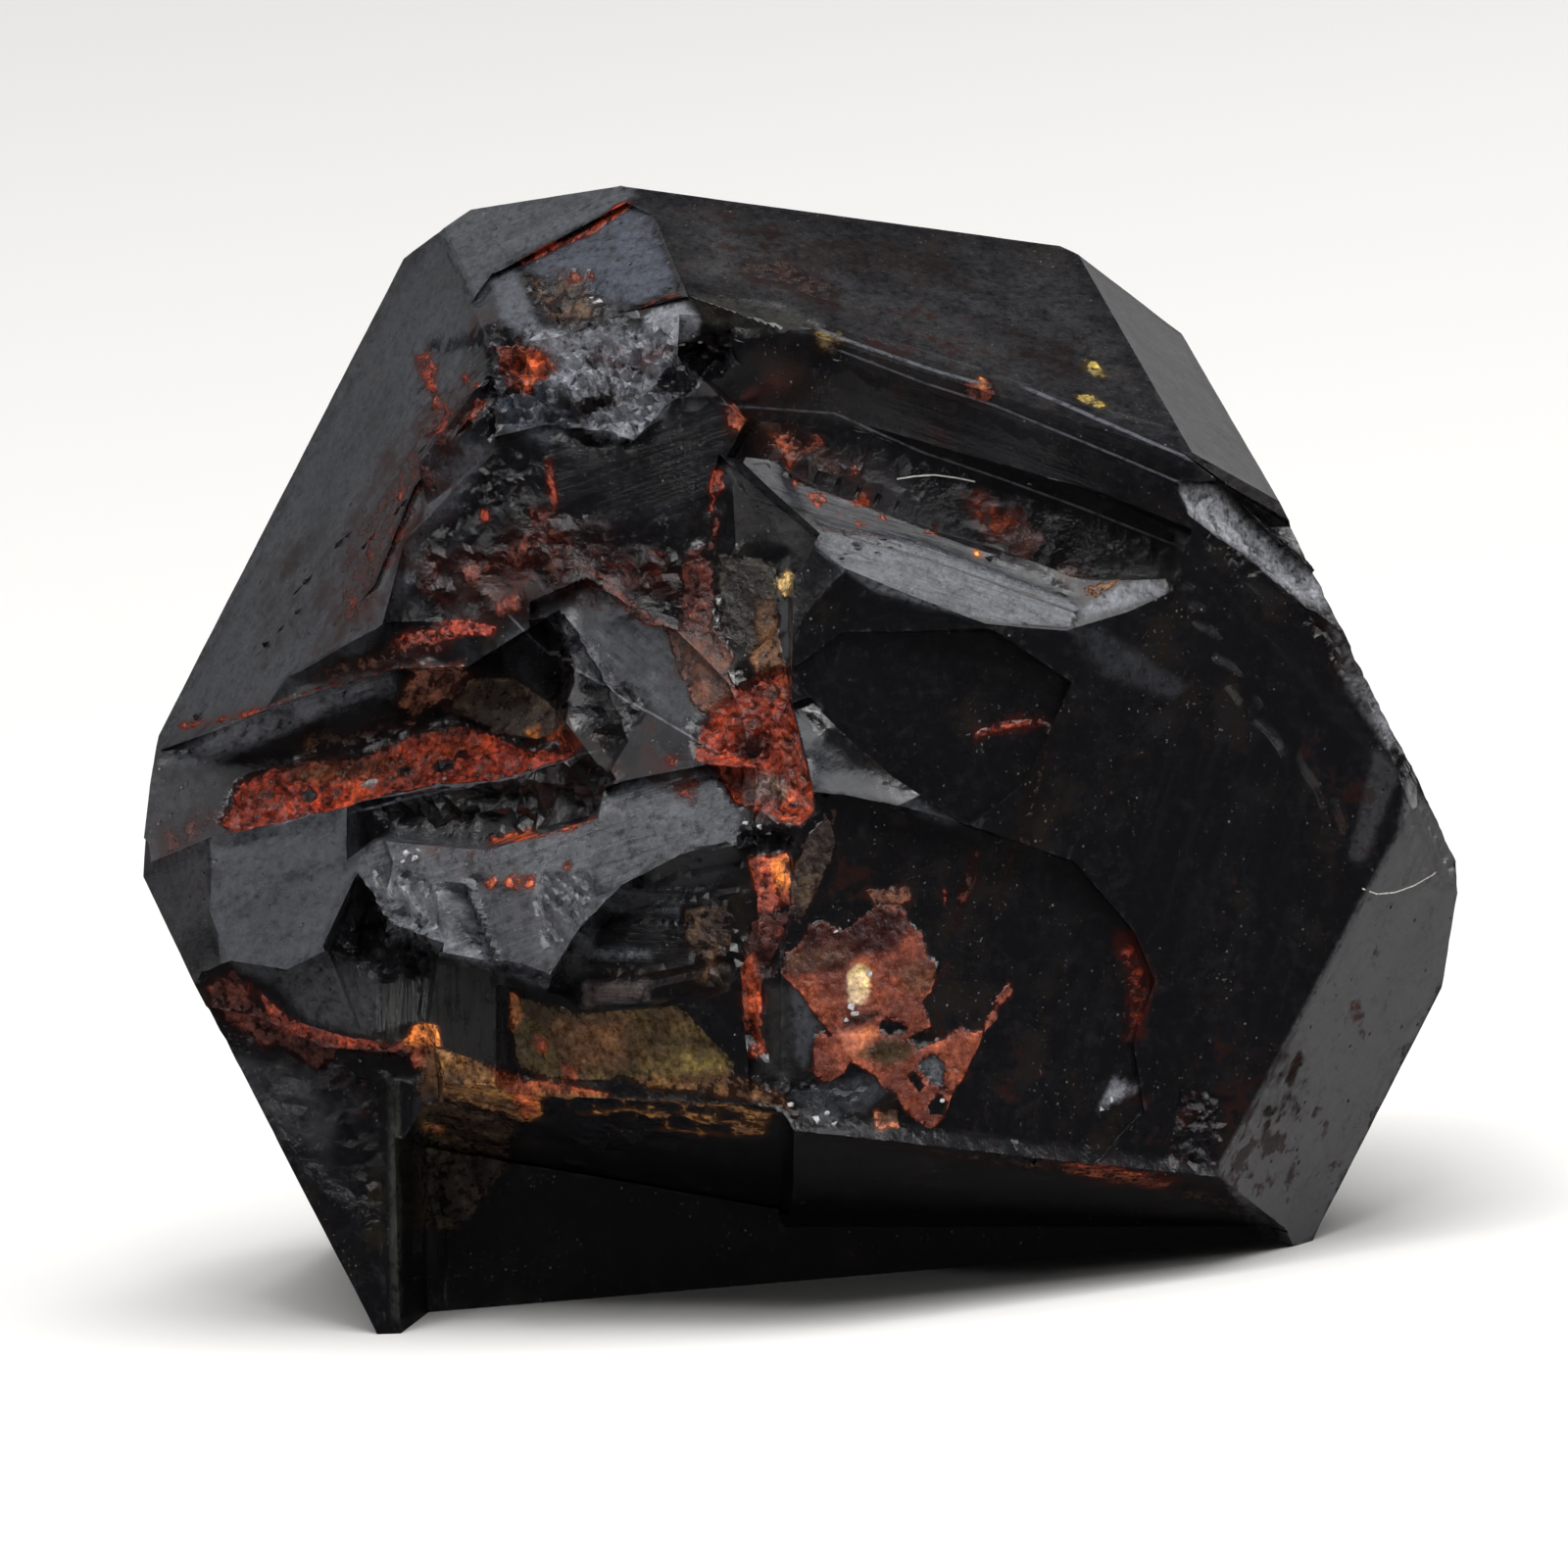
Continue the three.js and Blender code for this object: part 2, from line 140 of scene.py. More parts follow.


# Etched grey areas in the front view. Their grey is partly a painted sheen and painted highlights:
# colour that stands in for the light the facets mirror. Tint, how strongly it covers, width of the
# soft border in millimetres, outline
ETCH_AND_SHEEN = {
    "top_face": (HAZE, 0.4, 0.22, [(-118, 507), (215, 461), (289, 314), (141, 359), (37, 399), (-81, 433)]),
    "top_face_left": (HAZE, 0.6, 0.19, [(-81, 495), (37, 477), (59, 433), (-7, 418), (-67, 440)]),
    "top_wedge": (OLIVE_GREY, 0.6, 0.037, [(-78, 431), (-7, 422), (21, 406), (-37, 398), (-65, 407)]),
    "top_left_bevel": (SLATE_BLUE, 0.6, 0.044, [
        (-274, 488), (-244, 514), (-196, 527), (-126, 520), (-118, 507), (-174, 477), (-211, 458),
        (-226, 447), (-237, 425), (-246, 433),
    ]),
    "under_crack": (STEEL, 0.75, 0.03, [
        (-204, 453), (-174, 471), (-126, 501), (-111, 494), (-89, 440), (-102, 431), (-126, 424),
        (-155, 433), (-185, 443),
    ]),
    "chip_above_crust": (CHARCOAL, 0.6, 0.059, [
        (-191, 438), (-126, 422), (-115, 407), (-155, 396), (-185, 399),
    ]),
    "flat_chip": (PALE, 0.6, 0.022, [
        (-115, 409), (-104, 419), (-81, 424), (-70, 410), (-73, 398), (-89, 390), (-111, 396),
    ]),
    "speckled_strip": (SLATE_BLUE, 0.8, 0.03, [
        (-227, 444), (-211, 451), (-191, 410), (-200, 399), (-221, 413),
    ]),
    # The crust's pale grey is a painted sheen: it stands in for the light that its lumps mirror
    "crust_top": (PALE, 0.9, 0.059, [(-204, 403), (-118, 407), (-89, 388), (-126, 359), (-185, 359)]),
    "crust_sheen": (PALE, 0.7, 0.044, [
        (-155, 340), (-126, 359), (-89, 357), (-98, 338), (-126, 318), (-154, 322),
    ]),
    "left_strip": (SLATE, 0.7, 0.074, [
        (-255, 325), (-229, 318), (-252, 270), (-281, 251), (-289, 211), (-340, 137), (-377, 133),
        (-314, 211), (-285, 277),
    ]),
    "left_face": (SLATE, 0.55, 0.18, [
        (-511, 107), (-274, 495), (-241, 425), (-255, 329), (-285, 277), (-314, 211), (-377, 133),
        (-488, 92),
    ]),
    "smooth_hollow": (CHARCOAL, 0.05, 0.1, [
        (-185, 318), (-118, 322), (-48, 351), (-56, 299), (-126, 262), (-178, 270),
    ]),
    # The upper lip is painted pale: a painted highlight on a face that lies in shade
    "upper_lip": (PALE, 0.85, 0.044, [
        (-481, 81), (-429, 105), (-370, 128), (-322, 141), (-315, 132), (-355, 117), (-377, 105),
        (-414, 91), (-451, 77),
    ]),
    "lip_corner": (STEEL_PALE, 0.7, 0.03, [(-320, 144), (-305, 145), (-302, 131), (-315, 128)]),
    "roof_grey": (CHARCOAL, 0.5, 0.059, [(-377, 103), (-355, 116), (-303, 125), (-296, 114), (-355, 100)]),
    "lens_top": (SLATE, 0.36, 0.03, [
        (-50, 299), (-7, 299), (44, 285), (96, 262), (141, 240), (185, 218), (213, 202), (185, 206),
        (141, 224), (96, 242), (52, 249), (18, 255), (11, 264), (-22, 266), (-33, 277),
    ]),
    # The lens and its tail are painted pale: a painted reflection of the light this facet mirrors
    "lens": (STEEL_PALE, 0.52, 0.022, [
        (17, 250), (52, 249), (96, 242), (141, 225), (185, 207), (212, 194), (204, 179), (141, 184),
        (104, 192), (59, 205), (30, 225), (18, 236),
    ]),
    "lens_tail": (STEEL_PALE, 0.7, 0.022, [
        (213, 194), (237, 209), (263, 216), (275, 205), (244, 194), (215, 185),
    ]),
    "lens_left": (WARM_GREY, 0.5, 0.022, [(-18, 262), (15, 266), (19, 249), (1, 234), (-10, 246)]),
    "lens_haze": (CHARCOAL, 0.5, 0.089, [(-15, 308), (67, 299), (111, 262), (67, 262), (22, 285)]),
    "below_lens": (SLATE, 0.4, 0.044, [(204, 179), (223, 181), (292, 135), (281, 125), (229, 144)]),
    "crescent": (SLATE, 0.5, 0.022, [
        (-4, 119), (7, 112), (21, 95), (41, 79), (61, 68), (89, 54), (130, 26), (111, 31), (67, 51),
        (37, 55), (21, 59), (7, 68), (1, 95),
    ]),
    "slate_face": (SLATE, 0.5, 0.044, [
        (-196, 202), (-155, 212), (-89, 174), (-53, 137), (-46, 88), (-70, 94), (-126, 133), (-163, 144),
    ]),
    "slate_low": (SLATE, 0.1, 0.059, [
        (-118, 122), (-70, 94), (-56, 76), (-126, 63), (-155, 63), (-141, 85),
    ]),
    "slate_edge": (SLATE, 0.5, 0.044, [(-222, 170), (-196, 181), (-185, 144), (-192, 107), (-215, 137)]),
    "shield": (SLATE, 0.65, 0.037, [
        (-442, 17), (-429, 34), (-377, 49), (-324, 54), (-323, -11), (-344, -62), (-380, -90),
        (-422, -77), (-442, -34),
    ]),
    "under_shield": (GREY, 0.9, 0.044, [
        (-389, -88), (-344, -65), (-314, -74), (-309, -115), (-324, -125), (-363, -115),
    ]),
    "left_corner": (CHARCOAL, 0.7, 0.12, [
        (-496, 77), (-429, 85), (-433, 26), (-444, -41), (-466, -56), (-492, -11),
    ]),
    "ledge": (STEEL_PALE, 0.38, 0.022, [
        (-324, 9), (-305, 26), (-259, 23), (-229, 20), (-163, 33), (-126, 63), (-81, 74), (-56, 70),
        (-40, 40), (-44, 17), (-89, 15), (-111, 0), (-147, -37), (-155, -67), (-170, -89), (-185, -90),
        (-222, -75), (-274, -63), (-303, -54), (-314, -30), (-327, -6),
    ]),
    "ledge_bright": (STEEL_PALE, 0.35, 0.089, [
        (-163, 18), (-126, 55), (-67, 51), (-56, 26), (-96, 17), (-141, -11),
    ]),
    "ledge_slats": (STEEL_PALE, 0.4, 0.044, [(-314, -15), (-281, -11), (-274, -56), (-300, -48)]),
    "ledge_foot": (STEEL_PALE, 0.65, 0.03, [
        (-280, -40), (-263, -41), (-221, -74), (-237, -71), (-274, -59),
    ]),
    "ledge_middle": (GREY, 0.5, 0.03, [(-244, -4), (-188, -23), (-152, -74), (-170, -88), (-218, -75)]),
    "pink_bar": (PINK_GREY, 0.9, 0.022, [(-158, -86), (-108, -85), (-108, -97), (-155, -102)]),
    "step_facet": (CHARCOAL, 0.9, 0.022, [
        (-89, 15), (-46, 15), (-43, 3), (-70, -19), (-111, -15), (-105, 2),
    ]),
    "step_streaks": (SLATE, 0.6, 0.03, [(-139, -15), (-81, -20), (-89, -37), (-147, -34)]),
    "streak_low": (STEEL_PALE, 0.45, 0.022, [(-155, -60), (-110, -60), (-108, -68), (-157, -69)]),
    "grey_block": (UMBER, 0.85, 0.022, [
        (-280, -69), (-215, -78), (-215, -149), (-252, -141), (-278, -130),
    ]),
    "grey_block_side": (OLIVE_GREY, 0.7, 0.022, [(-305, -85), (-295, -74), (-295, -127), (-305, -125)]),
    # Painted highlights and reflections: the bright strip and chips on the right, and the even grey of the
    # right bevel, which stands in for the light it would mirror
    "right_strip": (GLEAM, 0.9, 0.03, [
        (287, 283), (312, 283), (342, 255), (388, 218), (404, 187), (377, 202), (332, 239), (295, 264),
    ]),
    "right_chips": (GLEAM, 0.4, 0.059, [(401, 181), (429, 144), (457, 101), (445, 92), (416, 133)]),
    "right_bevel": (EVEN_GREY, 0.97, 0.03, [
        (454, 28), (460, 70), (511, 3), (511, -71), (400, -293), (366, -296), (339, -263), (317, -228),
    ]),
    "right_line": (CHARCOAL, 0.8, 0.03, [(435, 89), (454, 70), (426, 3), (416, 9)]),
    "top_right_bevel": (SMOKE, 0.13, 0.037, [(221, 461), (296, 410), (385, 240), (329, 276), (290, 305)]),
    "small_triangle": (PALE, 0.6, 0.022, [(228, -180), (238, -158), (260, -165)]),
    "film_left": (SLATE, 0.8, 0.03, [
        (-3, -85), (6, -91), (21, -115), (22, -124), (12, -133), (9, -149), (-1, -137),
    ]),
    "beside_film": (UMBER, 0.9, 0.059, [(-25, -85), (-4, -88), (-1, -137), (1, -159), (-25, -152)]),
    "film_hole_grey": (STEEL_PALE, 0.6, 0.022, [
        (93, -146), (104, -139), (112, -146), (111, -161), (102, -157),
    ]),
    "film_foot": (SLATE, 0.7, 0.037, [
        (1, -168), (30, -158), (59, -155), (70, -165), (52, -182), (15, -185),
    ]),
    "rim_glints": (STEEL_PALE, 0.6, 0.03, [(7, -182), (30, -180), (41, -191), (16, -191)]),
    "spike_stripe": (OLIVE_GREY, 0.9, 0.022, [(-306, -158), (-297, -158), (-293, -337), (-303, -341)]),
    "spike_stripe_right": (CHARCOAL, 0.7, 0.022, [(-286, -174), (-277, -174), (-275, -293), (-284, -293)]),
    "spike_left": (GREY, 0.6, 0.074, [
        (-426, -145), (-377, -152), (-344, -189), (-355, -219), (-392, -196),
    ]),
    "crust_low": (STEEL, 0.6, 0.059, [
        (-226, 399), (-204, 399), (-185, 359), (-155, 336), (-185, 318), (-215, 329), (-229, 359),
    ]),
    "low_rim_shade": (SOOT, 0.9, 0.03, [
        (7, -185), (111, -196), (200, -208), (318, -226), (318, -236), (200, -219), (111, -208),
        (7, -195),
    ]),
}

# Stains, given the same way, later ones over earlier ones. A strength of 0 bares the garnet.
# The sparks and the amber glow are painted glints and light caught inside the translucent garnet;
# the cleft shadow and the dark seam shade are painted shade
STAINS = {
    "ring_left": (RUST, 0.68, 0.037, [
        (-289, 387), (-280, 396), (-275, 379), (-274, 364), (-262, 344), (-274, 322), (-281, 327),
        (-272, 344), (-283, 362),
    ]),
    "ring_middle": (RUST, 0.66, 0.037, [(-258, 379), (-247, 373), (-235, 361), (-244, 357), (-255, 367)]),
    "ring_low": (RUST, 0.66, 0.037, [
        (-252, 335), (-244, 344), (-243, 355), (-232, 350), (-237, 338), (-247, 330),
    ]),
    "left_specks": (RUST, 0.68, 0.052, [(-329, 251), (-309, 253), (-311, 234), (-324, 231)]),
    "left_speck_low": (RUST, 0.64, 0.059, [(-344, 214), (-329, 218), (-324, 196), (-340, 187)]),
    "crack": (RUST, 0.72, 0.022, [
        (-213, 456), (-185, 471), (-155, 483), (-135, 501), (-124, 504), (-121, 499), (-152, 478),
        (-181, 465), (-204, 453),
    ]),
    "under_crack_left": (BROWN, 0.62, 0.089, [
        (-207, 449), (-163, 451), (-141, 425), (-163, 404), (-192, 413),
    ]),
    "crust_orange": (ORANGE_RED, 0.85, 0.059, [
        (-209, 399), (-181, 387), (-191, 370), (-206, 359), (-216, 373),
    ]),
    "crust_pink": (PINK_RUST, 0.4, 0.074, [(-170, 396), (-126, 399), (-89, 392), (-111, 375), (-155, 377)]),
    "crust_brown": (BROWN, 0.4, 0.13, [(-195, 364), (-126, 379), (-111, 359), (-155, 336), (-188, 341)]),
    "top_face_brown": (BROWN, 0.4, 0.22, [(-52, 488), (111, 470), (141, 433), (52, 433), (-37, 440)]),
    "top_face_brown_low": (BROWN, 0.45, 0.18, [(141, 410), (215, 399), (222, 359), (163, 377)]),
    "mustard_speck": (MUSTARD, 0.85, 0.03, [(215, 382), (226, 379), (235, 367), (228, 364), (218, 372)]),
    "mustard_speck_low": (MUSTARD, 0.85, 0.03, [
        (206, 353), (221, 354), (234, 345), (228, 342), (213, 347),
    ]),
    "knot": (RUST_DARK, 0.8, 0.037, [
        (123, 361), (133, 366), (147, 364), (151, 351), (141, 344), (126, 350),
    ]),
    "knot_left": (MUSTARD_DEEP, 0.7, 0.059, [(12, 403), (34, 404), (46, 391), (30, 379), (16, 385)]),
    "slot_brown": (ORANGE_RED, 0.5, 0.089, [
        (122, 285), (141, 283), (178, 262), (185, 243), (175, 231), (149, 242), (130, 259),
    ]),
    "slot_brown_low": (BROWN_RED, 0.55, 0.059, [(186, 231), (222, 225), (229, 211), (196, 213)]),
    "slot_orange": (ORANGE_RED, 0.76, 0.037, [(-53, 345), (-43, 350), (-34, 335), (-40, 324), (-50, 326)]),
    "slot_specks": (ORANGE_RED, 0.7, 0.044, [
        (-19, 323), (-3, 324), (1, 314), (21, 322), (22, 313), (4, 305), (-3, 296), (-12, 307),
    ]),
    "slot_haze": (BROWN_RED, 0.5, 0.19, [
        (-67, 359), (-7, 344), (52, 307), (67, 270), (15, 285), (-37, 307), (-59, 329),
    ]),
    "tail_rust": (BROWN_ORANGE, 0.8, 0.037, [(207, 205), (222, 211), (252, 221), (237, 209), (222, 199)]),
    "hollow_rust": (RUST, 0.6, 0.052, [
        (130, 101), (144, 108), (163, 112), (186, 113), (189, 103), (163, 102), (144, 97), (133, 92),
    ]),
    "web_middle": (RUST_DARK, 0.72, 0.052, [
        (-200, 270), (-178, 273), (-176, 251), (-196, 240), (-207, 222), (-216, 225), (-207, 244),
        (-200, 255),
    ]),
    "web_right": (RUST_DARK, 0.68, 0.044, [
        (-181, 255), (-170, 250), (-155, 229), (-135, 211), (-107, 190), (-87, 181), (-90, 174),
        (-115, 182), (-142, 202), (-164, 224),
    ]),
    "web_low": (RUST_DARK, 0.66, 0.044, [(-163, 203), (-141, 196), (-142, 190), (-163, 197)]),
    "web_far": (RUST_DARK, 0.66, 0.044, [(-115, 240), (-95, 236), (-96, 230), (-113, 233)]),
    "web_left": (RUST, 0.68, 0.044, [
        (-307, 169), (-289, 180), (-263, 181), (-250, 172), (-274, 163), (-300, 160),
    ]),
    "web_left_high": (RUST_DARK, 0.5, 0.089, [
        (-281, 240), (-244, 233), (-229, 211), (-266, 192), (-285, 203),
    ]),
    "seam_thread": (RUST, 0.85, 0.022, [
        (-61, 298), (-53, 301), (-53, 283), (-59, 276), (-61, 262), (-64, 264), (-64, 285),
    ]),
    "seam_thread_low": (RUST_DARK, 0.66, 0.037, [
        (-61, 264), (-54, 264), (-59, 236), (-81, 229), (-83, 236), (-65, 244),
    ]),
    "seam_strip": (RUST_DARK, 0.8, 0.03, [
        (-86, 228), (-64, 233), (-59, 198), (-65, 175), (-89, 178), (-84, 208),
    ]),
    "seam_tan": (BROWN_RED, 0.96, 0.059, [
        (-95, 175), (-63, 182), (-46, 159), (-50, 145), (-36, 122), (-59, 108), (-76, 122), (-89, 151),
    ]),
    "seam_tan_spot": (TAN_RED, 0.85, 0.044, [(-81, 166), (-65, 169), (-62, 150), (-75, 144)]),
    "seam_brown": (BROWN_BLACK, 0.96, 0.059, [(-58, 235), (-16, 230), (-15, 181), (-36, 159), (-58, 179)]),
    "seam_amber": (BROWN_ORANGE, 0.82, 0.037, [
        (-31, 199), (-16, 202), (-7, 144), (-9, 128), (-28, 137), (-36, 157),
    ]),
    "seam_core": (RUST, 0.92, 0.03, [
        (-73, 108), (-52, 128), (-33, 144), (-10, 151), (-4, 128), (2, 95), (10, 63), (12, 42), (4, 33),
        (-19, 39), (-46, 52), (-59, 73), (-75, 82),
    ]),
    "seam_core_bright": (RUST_ORANGE, 0.9, 0.052, [
        (-10, 92), (2, 91), (13, 42), (3, 31), (-16, 37), (-7, 63),
    ]),
    "seam_core_pit": (DEEP_RED, 0.97, 0.03, [(-44, 100), (-31, 102), (-25, 91), (-33, 79), (-44, 85)]),
    "seam_core_grey": (PINK_GREY, 0.85, 0.037, [(-41, 65), (-22, 70), (-7, 64), (-10, 51), (-38, 49)]),
    "seam_spots": (RUST, 0.6, 0.052, [(-99, 86), (-83, 85), (-86, 73), (-98, 74)]),
    "seam_low": (RUST_ORANGE, 0.88, 0.03, [(-36, 9), (-6, 12), (-3, -28), (-30, -34), (-34, -11)]),
    "seam_low_amber": (ORANGE_BRIGHT, 0.8, 0.037, [(-19, 6), (-6, 9), (-6, -19), (-15, -15)]),
    "seam_dark": (RUST_DEEP, 0.86, 0.03, [
        (-30, -31), (-3, -31), (-13, -54), (-26, -91), (-39, -94), (-41, -65), (-36, -45),
    ]),
    "seam_orange_thread": (RUST_ORANGE, 0.85, 0.03, [(-39, -67), (-30, -63), (-28, -89), (-38, -94)]),
    "seam_foot": (RUST_ORANGE, 0.72, 0.037, [
        (-44, -94), (-26, -91), (-21, -138), (-33, -142), (-37, -115),
    ]),
    "seam_side": (BROWN, 0.96, 0.044, [(4, 20), (34, 48), (30, 9), (9, -34), (1, -45), (-3, -11)]),
    "brown_patch": (BROWN, 0.7, 0.074, [(-86, -31), (-46, -21), (-46, -54), (-66, -74), (-86, -61)]),
    "brown_thread": (BROWN_ORANGE, 0.66, 0.037, [
        (-53, -48), (-44, -45), (-56, -74), (-68, -85), (-73, -80),
    ]),
    "ledge_top_line": (ORANGE_RED, 0.72, 0.03, [
        (-229, 24), (-200, 30), (-181, 27), (-151, 42), (-144, 36), (-163, 28), (-200, 20), (-229, 17),
    ]),
    "ledge_spots": (ORANGE_RED, 0.72, 0.037, [
        (-216, -6), (-207, -1), (-192, -4), (-192, -14), (-207, -17), (-218, -14),
    ]),
    "ledge_dot": (RUST, 0.9, 0.022, [(-172, 6), (-166, 6), (-166, -1), (-172, -1)]),
    "ledge_right_spots": (RUST, 0.55, 0.059, [(-96, 66), (-67, 70), (-73, 48), (-89, 51)]),
    "cleft_red": (RUST_BRIGHT, 0.92, 0.03, [
        (-435, 34), (-422, 63), (-396, 76), (-355, 83), (-326, 85), (-289, 101), (-252, 108),
        (-229, 101), (-200, 88), (-169, 91), (-166, 85), (-196, 76), (-229, 68), (-266, 65), (-303, 57),
        (-348, 46), (-392, 34), (-422, 27),
    ]),
    "cleft_shadow": (RUST_DARK, 0.5, 0.13, [(-488, 33), (-433, 59), (-426, 26), (-481, -4)]),
    "lip_red": (RUST, 0.62, 0.03, [
        (-474, 110), (-429, 116), (-385, 128), (-355, 138), (-318, 145), (-274, 159), (-269, 154),
        (-303, 144), (-355, 132), (-414, 111), (-466, 103),
    ]),
    "lip_brown": (PINK_RUST, 0.8, 0.059, [
        (-303, 134), (-281, 150), (-250, 157), (-243, 145), (-263, 128), (-286, 113), (-302, 123),
    ]),
    "lip_orange": (ORANGE_RED, 0.66, 0.044, [(-196, 108), (-178, 114), (-167, 88), (-185, 92)]),
    "rim_red": (RUST_DEEP, 0.88, 0.037, [
        (-426, -74), (-413, -85), (-400, -108), (-355, -126), (-318, -136), (-281, -133), (-277, -143),
        (-303, -145), (-355, -148), (-361, -154), (-392, -133), (-406, -115), (-426, -97),
    ]),
    "rim_red_dark": (RUST_DARK, 0.7, 0.1, [
        (-448, -85), (-418, -74), (-406, -115), (-377, -130), (-400, -141), (-440, -111),
    ]),
    "rim_orange": (ORANGE_BRIGHT, 0.92, 0.022, [
        (-292, -126), (-286, -118), (-277, -115), (-266, -118), (-263, -134), (-274, -133), (-281, -142),
        (-292, -137),
    ]),
    "rim_tan": (TAN, 0.95, 0.037, [
        (-277, -137), (-263, -136), (-229, -146), (-200, -159), (-137, -168), (-137, -177), (-192, -173),
        (-188, -189), (-204, -195), (-229, -183), (-252, -176), (-274, -173), (-285, -167), (-281, -148),
    ]),
    "rim_tan_fade": (BROWN, 0.8, 0.16, [
        (-285, -159), (-206, -194), (-215, -233), (-252, -278), (-285, -278),
    ]),
    "rim_net": (TAN, 0.66, 0.044, [
        (-206, -170), (-132, -170), (-67, -174), (-15, -185), (-22, -204), (-81, -204), (-163, -186),
    ]),
    "amber": (MUSTARD_DEEP, 0.97, 0.03, [
        (-214, -94), (-155, -108), (-108, -102), (-89, -99), (-67, -122), (-43, -147), (-59, -159),
        (-81, -164), (-108, -158), (-155, -159), (-185, -158), (-207, -151),
    ]),
    "amber_bright": (MUSTARD_DARK, 0.97, 0.089, [
        (-126, -108), (-89, -102), (-67, -126), (-46, -146), (-59, -159), (-100, -157), (-126, -141),
    ]),
    "amber_middle": (BROWN_ORANGE, 0.96, 0.074, [(-185, -115), (-126, -111), (-126, -148), (-170, -152)]),
    "amber_spots": (RUST_ORANGE, 0.8, 0.03, [(-195, -127), (-186, -130), (-188, -140), (-195, -136)]),
    "amber_spot_low": (RUST_ORANGE, 0.75, 0.03, [(-175, -149), (-164, -149), (-164, -159), (-173, -158)]),
    "amber_strip": (ORANGE, 0.72, 0.022, [
        (-214, -91), (-207, -93), (-206, -115), (-210, -122), (-215, -120),
    ]),
    "front_brown": (BROWN, 0.5, 0.15, [(-126, -74), (-52, -56), (-33, -115), (-81, -93)]),
    "film": (FILM, 0.99, 0.015, [
        (-10, -78), (-7, -67), (4, -56), (9, -43), (21, -39), (30, -43), (35, -46), (43, -45), (48, -37),
        (56, -34), (61, -28), (81, -28), (84, -40), (95, -48), (99, -65), (106, -71), (106, -81),
        (101, -93), (96, -97), (98, -108), (103, -117), (89, -124), (92, -131), (112, -128), (117, -121),
        (124, -117), (132, -122), (141, -121), (139, -131), (133, -141), (126, -156), (118, -168),
        (112, -185), (104, -195), (92, -189), (83, -180), (74, -167), (65, -163), (61, -154), (52, -149),
        (43, -143), (37, -152), (28, -158), (21, -159), (12, -149), (15, -137), (12, -130), (18, -121),
        (28, -124), (21, -115), (13, -106), (4, -91), (-3, -85),
    ]),
    "film_top": (FILM_DARK, 0.99, 0.044, [
        (-10, -78), (-7, -67), (4, -56), (9, -43), (21, -39), (35, -46), (48, -37), (61, -28), (81, -28),
        (86, -41), (78, -60), (59, -63), (37, -67), (36, -74), (15, -77),
    ]),
    "film_chip": (BROWN_ORANGE, 0.95, 0.015, [(61, -182), (78, -180), (80, -191), (63, -195)]),
    "film_tongue": (FILM, 0.85, 0.015, [
        (160, -87), (166, -91), (154, -105), (152, -115), (143, -121), (141, -117), (147, -108),
        (151, -97),
    ]),
    "film_gold": (GOLD_PALE, 0.95, 0.022, [
        (40, -78), (46, -72), (55, -74), (55, -94), (50, -100), (41, -99),
    ]),
    "lobe_rim": (RUST, 0.56, 0.067, [
        (234, -38), (252, -48), (269, -85), (259, -127), (244, -131), (249, -93), (241, -67),
    ]),
    "lobe_streak": (RUST_DARK, 0.6, 0.052, [
        (130, 11), (141, 17), (138, -11), (126, -34), (117, -56), (120, -19),
    ]),
    "low_rim_rust": (ORANGE_RED, 0.64, 0.067, [
        (185, -220), (229, -219), (289, -236), (281, -247), (229, -239),
    ]),
    "low_rim_brown": (BROWN, 0.62, 0.1, [
        (7, -196), (111, -208), (200, -222), (326, -245), (363, -285), (274, -245), (141, -226),
    ]),
    "band_brown": (BROWN, 0.42, 0.12, [(363, 240), (407, 196), (444, 129), (429, 107), (385, 166)]),
    "bevel_brown": (BROWN, 0.3, 0.19, [(333, -145), (385, -115), (392, -189), (348, -204)]),
    "bevel_red": (RUST, 0.6, 0.03, [(420, -103), (429, -100), (431, -115), (422, -118)]),
    "bevel_scratch": (DEEP_RED, 0.85, 0.015, [(369, -163), (379, -139), (385, -142), (374, -167)]),
    "spike_olive": (OLIVE_STAIN, 0.42, 0.074, [(-283, -196), (-266, -200), (-266, -300), (-281, -300)]),
    "left_grey_brown": (BROWN, 0.34, 0.19, [(-414, 240), (-355, 270), (-340, 196), (-407, 151)]),
    "top_face_pink": (BROWN_RED, 0.5, 0.1, [
        (-48, 461), (-7, 464), (37, 440), (30, 410), (-7, 433), (-44, 440),
    ]),
    "top_wedge_olive": (MUSTARD_DEEP, 0.6, 0.059, [(-73, 424), (-44, 419), (-48, 409), (-65, 410)]),
    "crack_low": (RUST, 0.66, 0.03, [(-185, 453), (-163, 450), (-155, 447), (-166, 444)]),
    "crack_dot": (RUST, 0.75, 0.022, [(-163, 447), (-152, 452), (-152, 444)]),
    "flat_chip_red": (RUST, 0.7, 0.022, [
        (-118, 419), (-102, 428), (-89, 433), (-81, 428), (-104, 424), (-114, 415),
    ]),
    "crust_left_red": (RUST_DARK, 0.8, 0.059, [(-226, 396), (-207, 403), (-209, 366), (-223, 359)]),
    "slot_speck_a": (ORANGE_RED, 0.8, 0.03, [(12, 323), (21, 324), (22, 316), (15, 314)]),
    "slot_speck_b": (ORANGE_RED, 0.85, 0.03, [(9, 282), (24, 283), (27, 274), (15, 268)]),
    "slot_speck_c": (ORANGE_RED, 0.85, 0.03, [(41, 280), (58, 282), (58, 271), (46, 270)]),
    "slot_speck_d": (ORANGE_RED, 0.8, 0.03, [(-4, 293), (7, 295), (7, 287), (-3, 287)]),
    "slot_speck_e": (ORANGE_RED, 0.75, 0.03, [(31, 267), (38, 267), (38, 261), (31, 261)]),
    "slot_speck_f": (ORANGE_RED, 0.75, 0.03, [(44, 261), (55, 259), (55, 253), (46, 255)]),
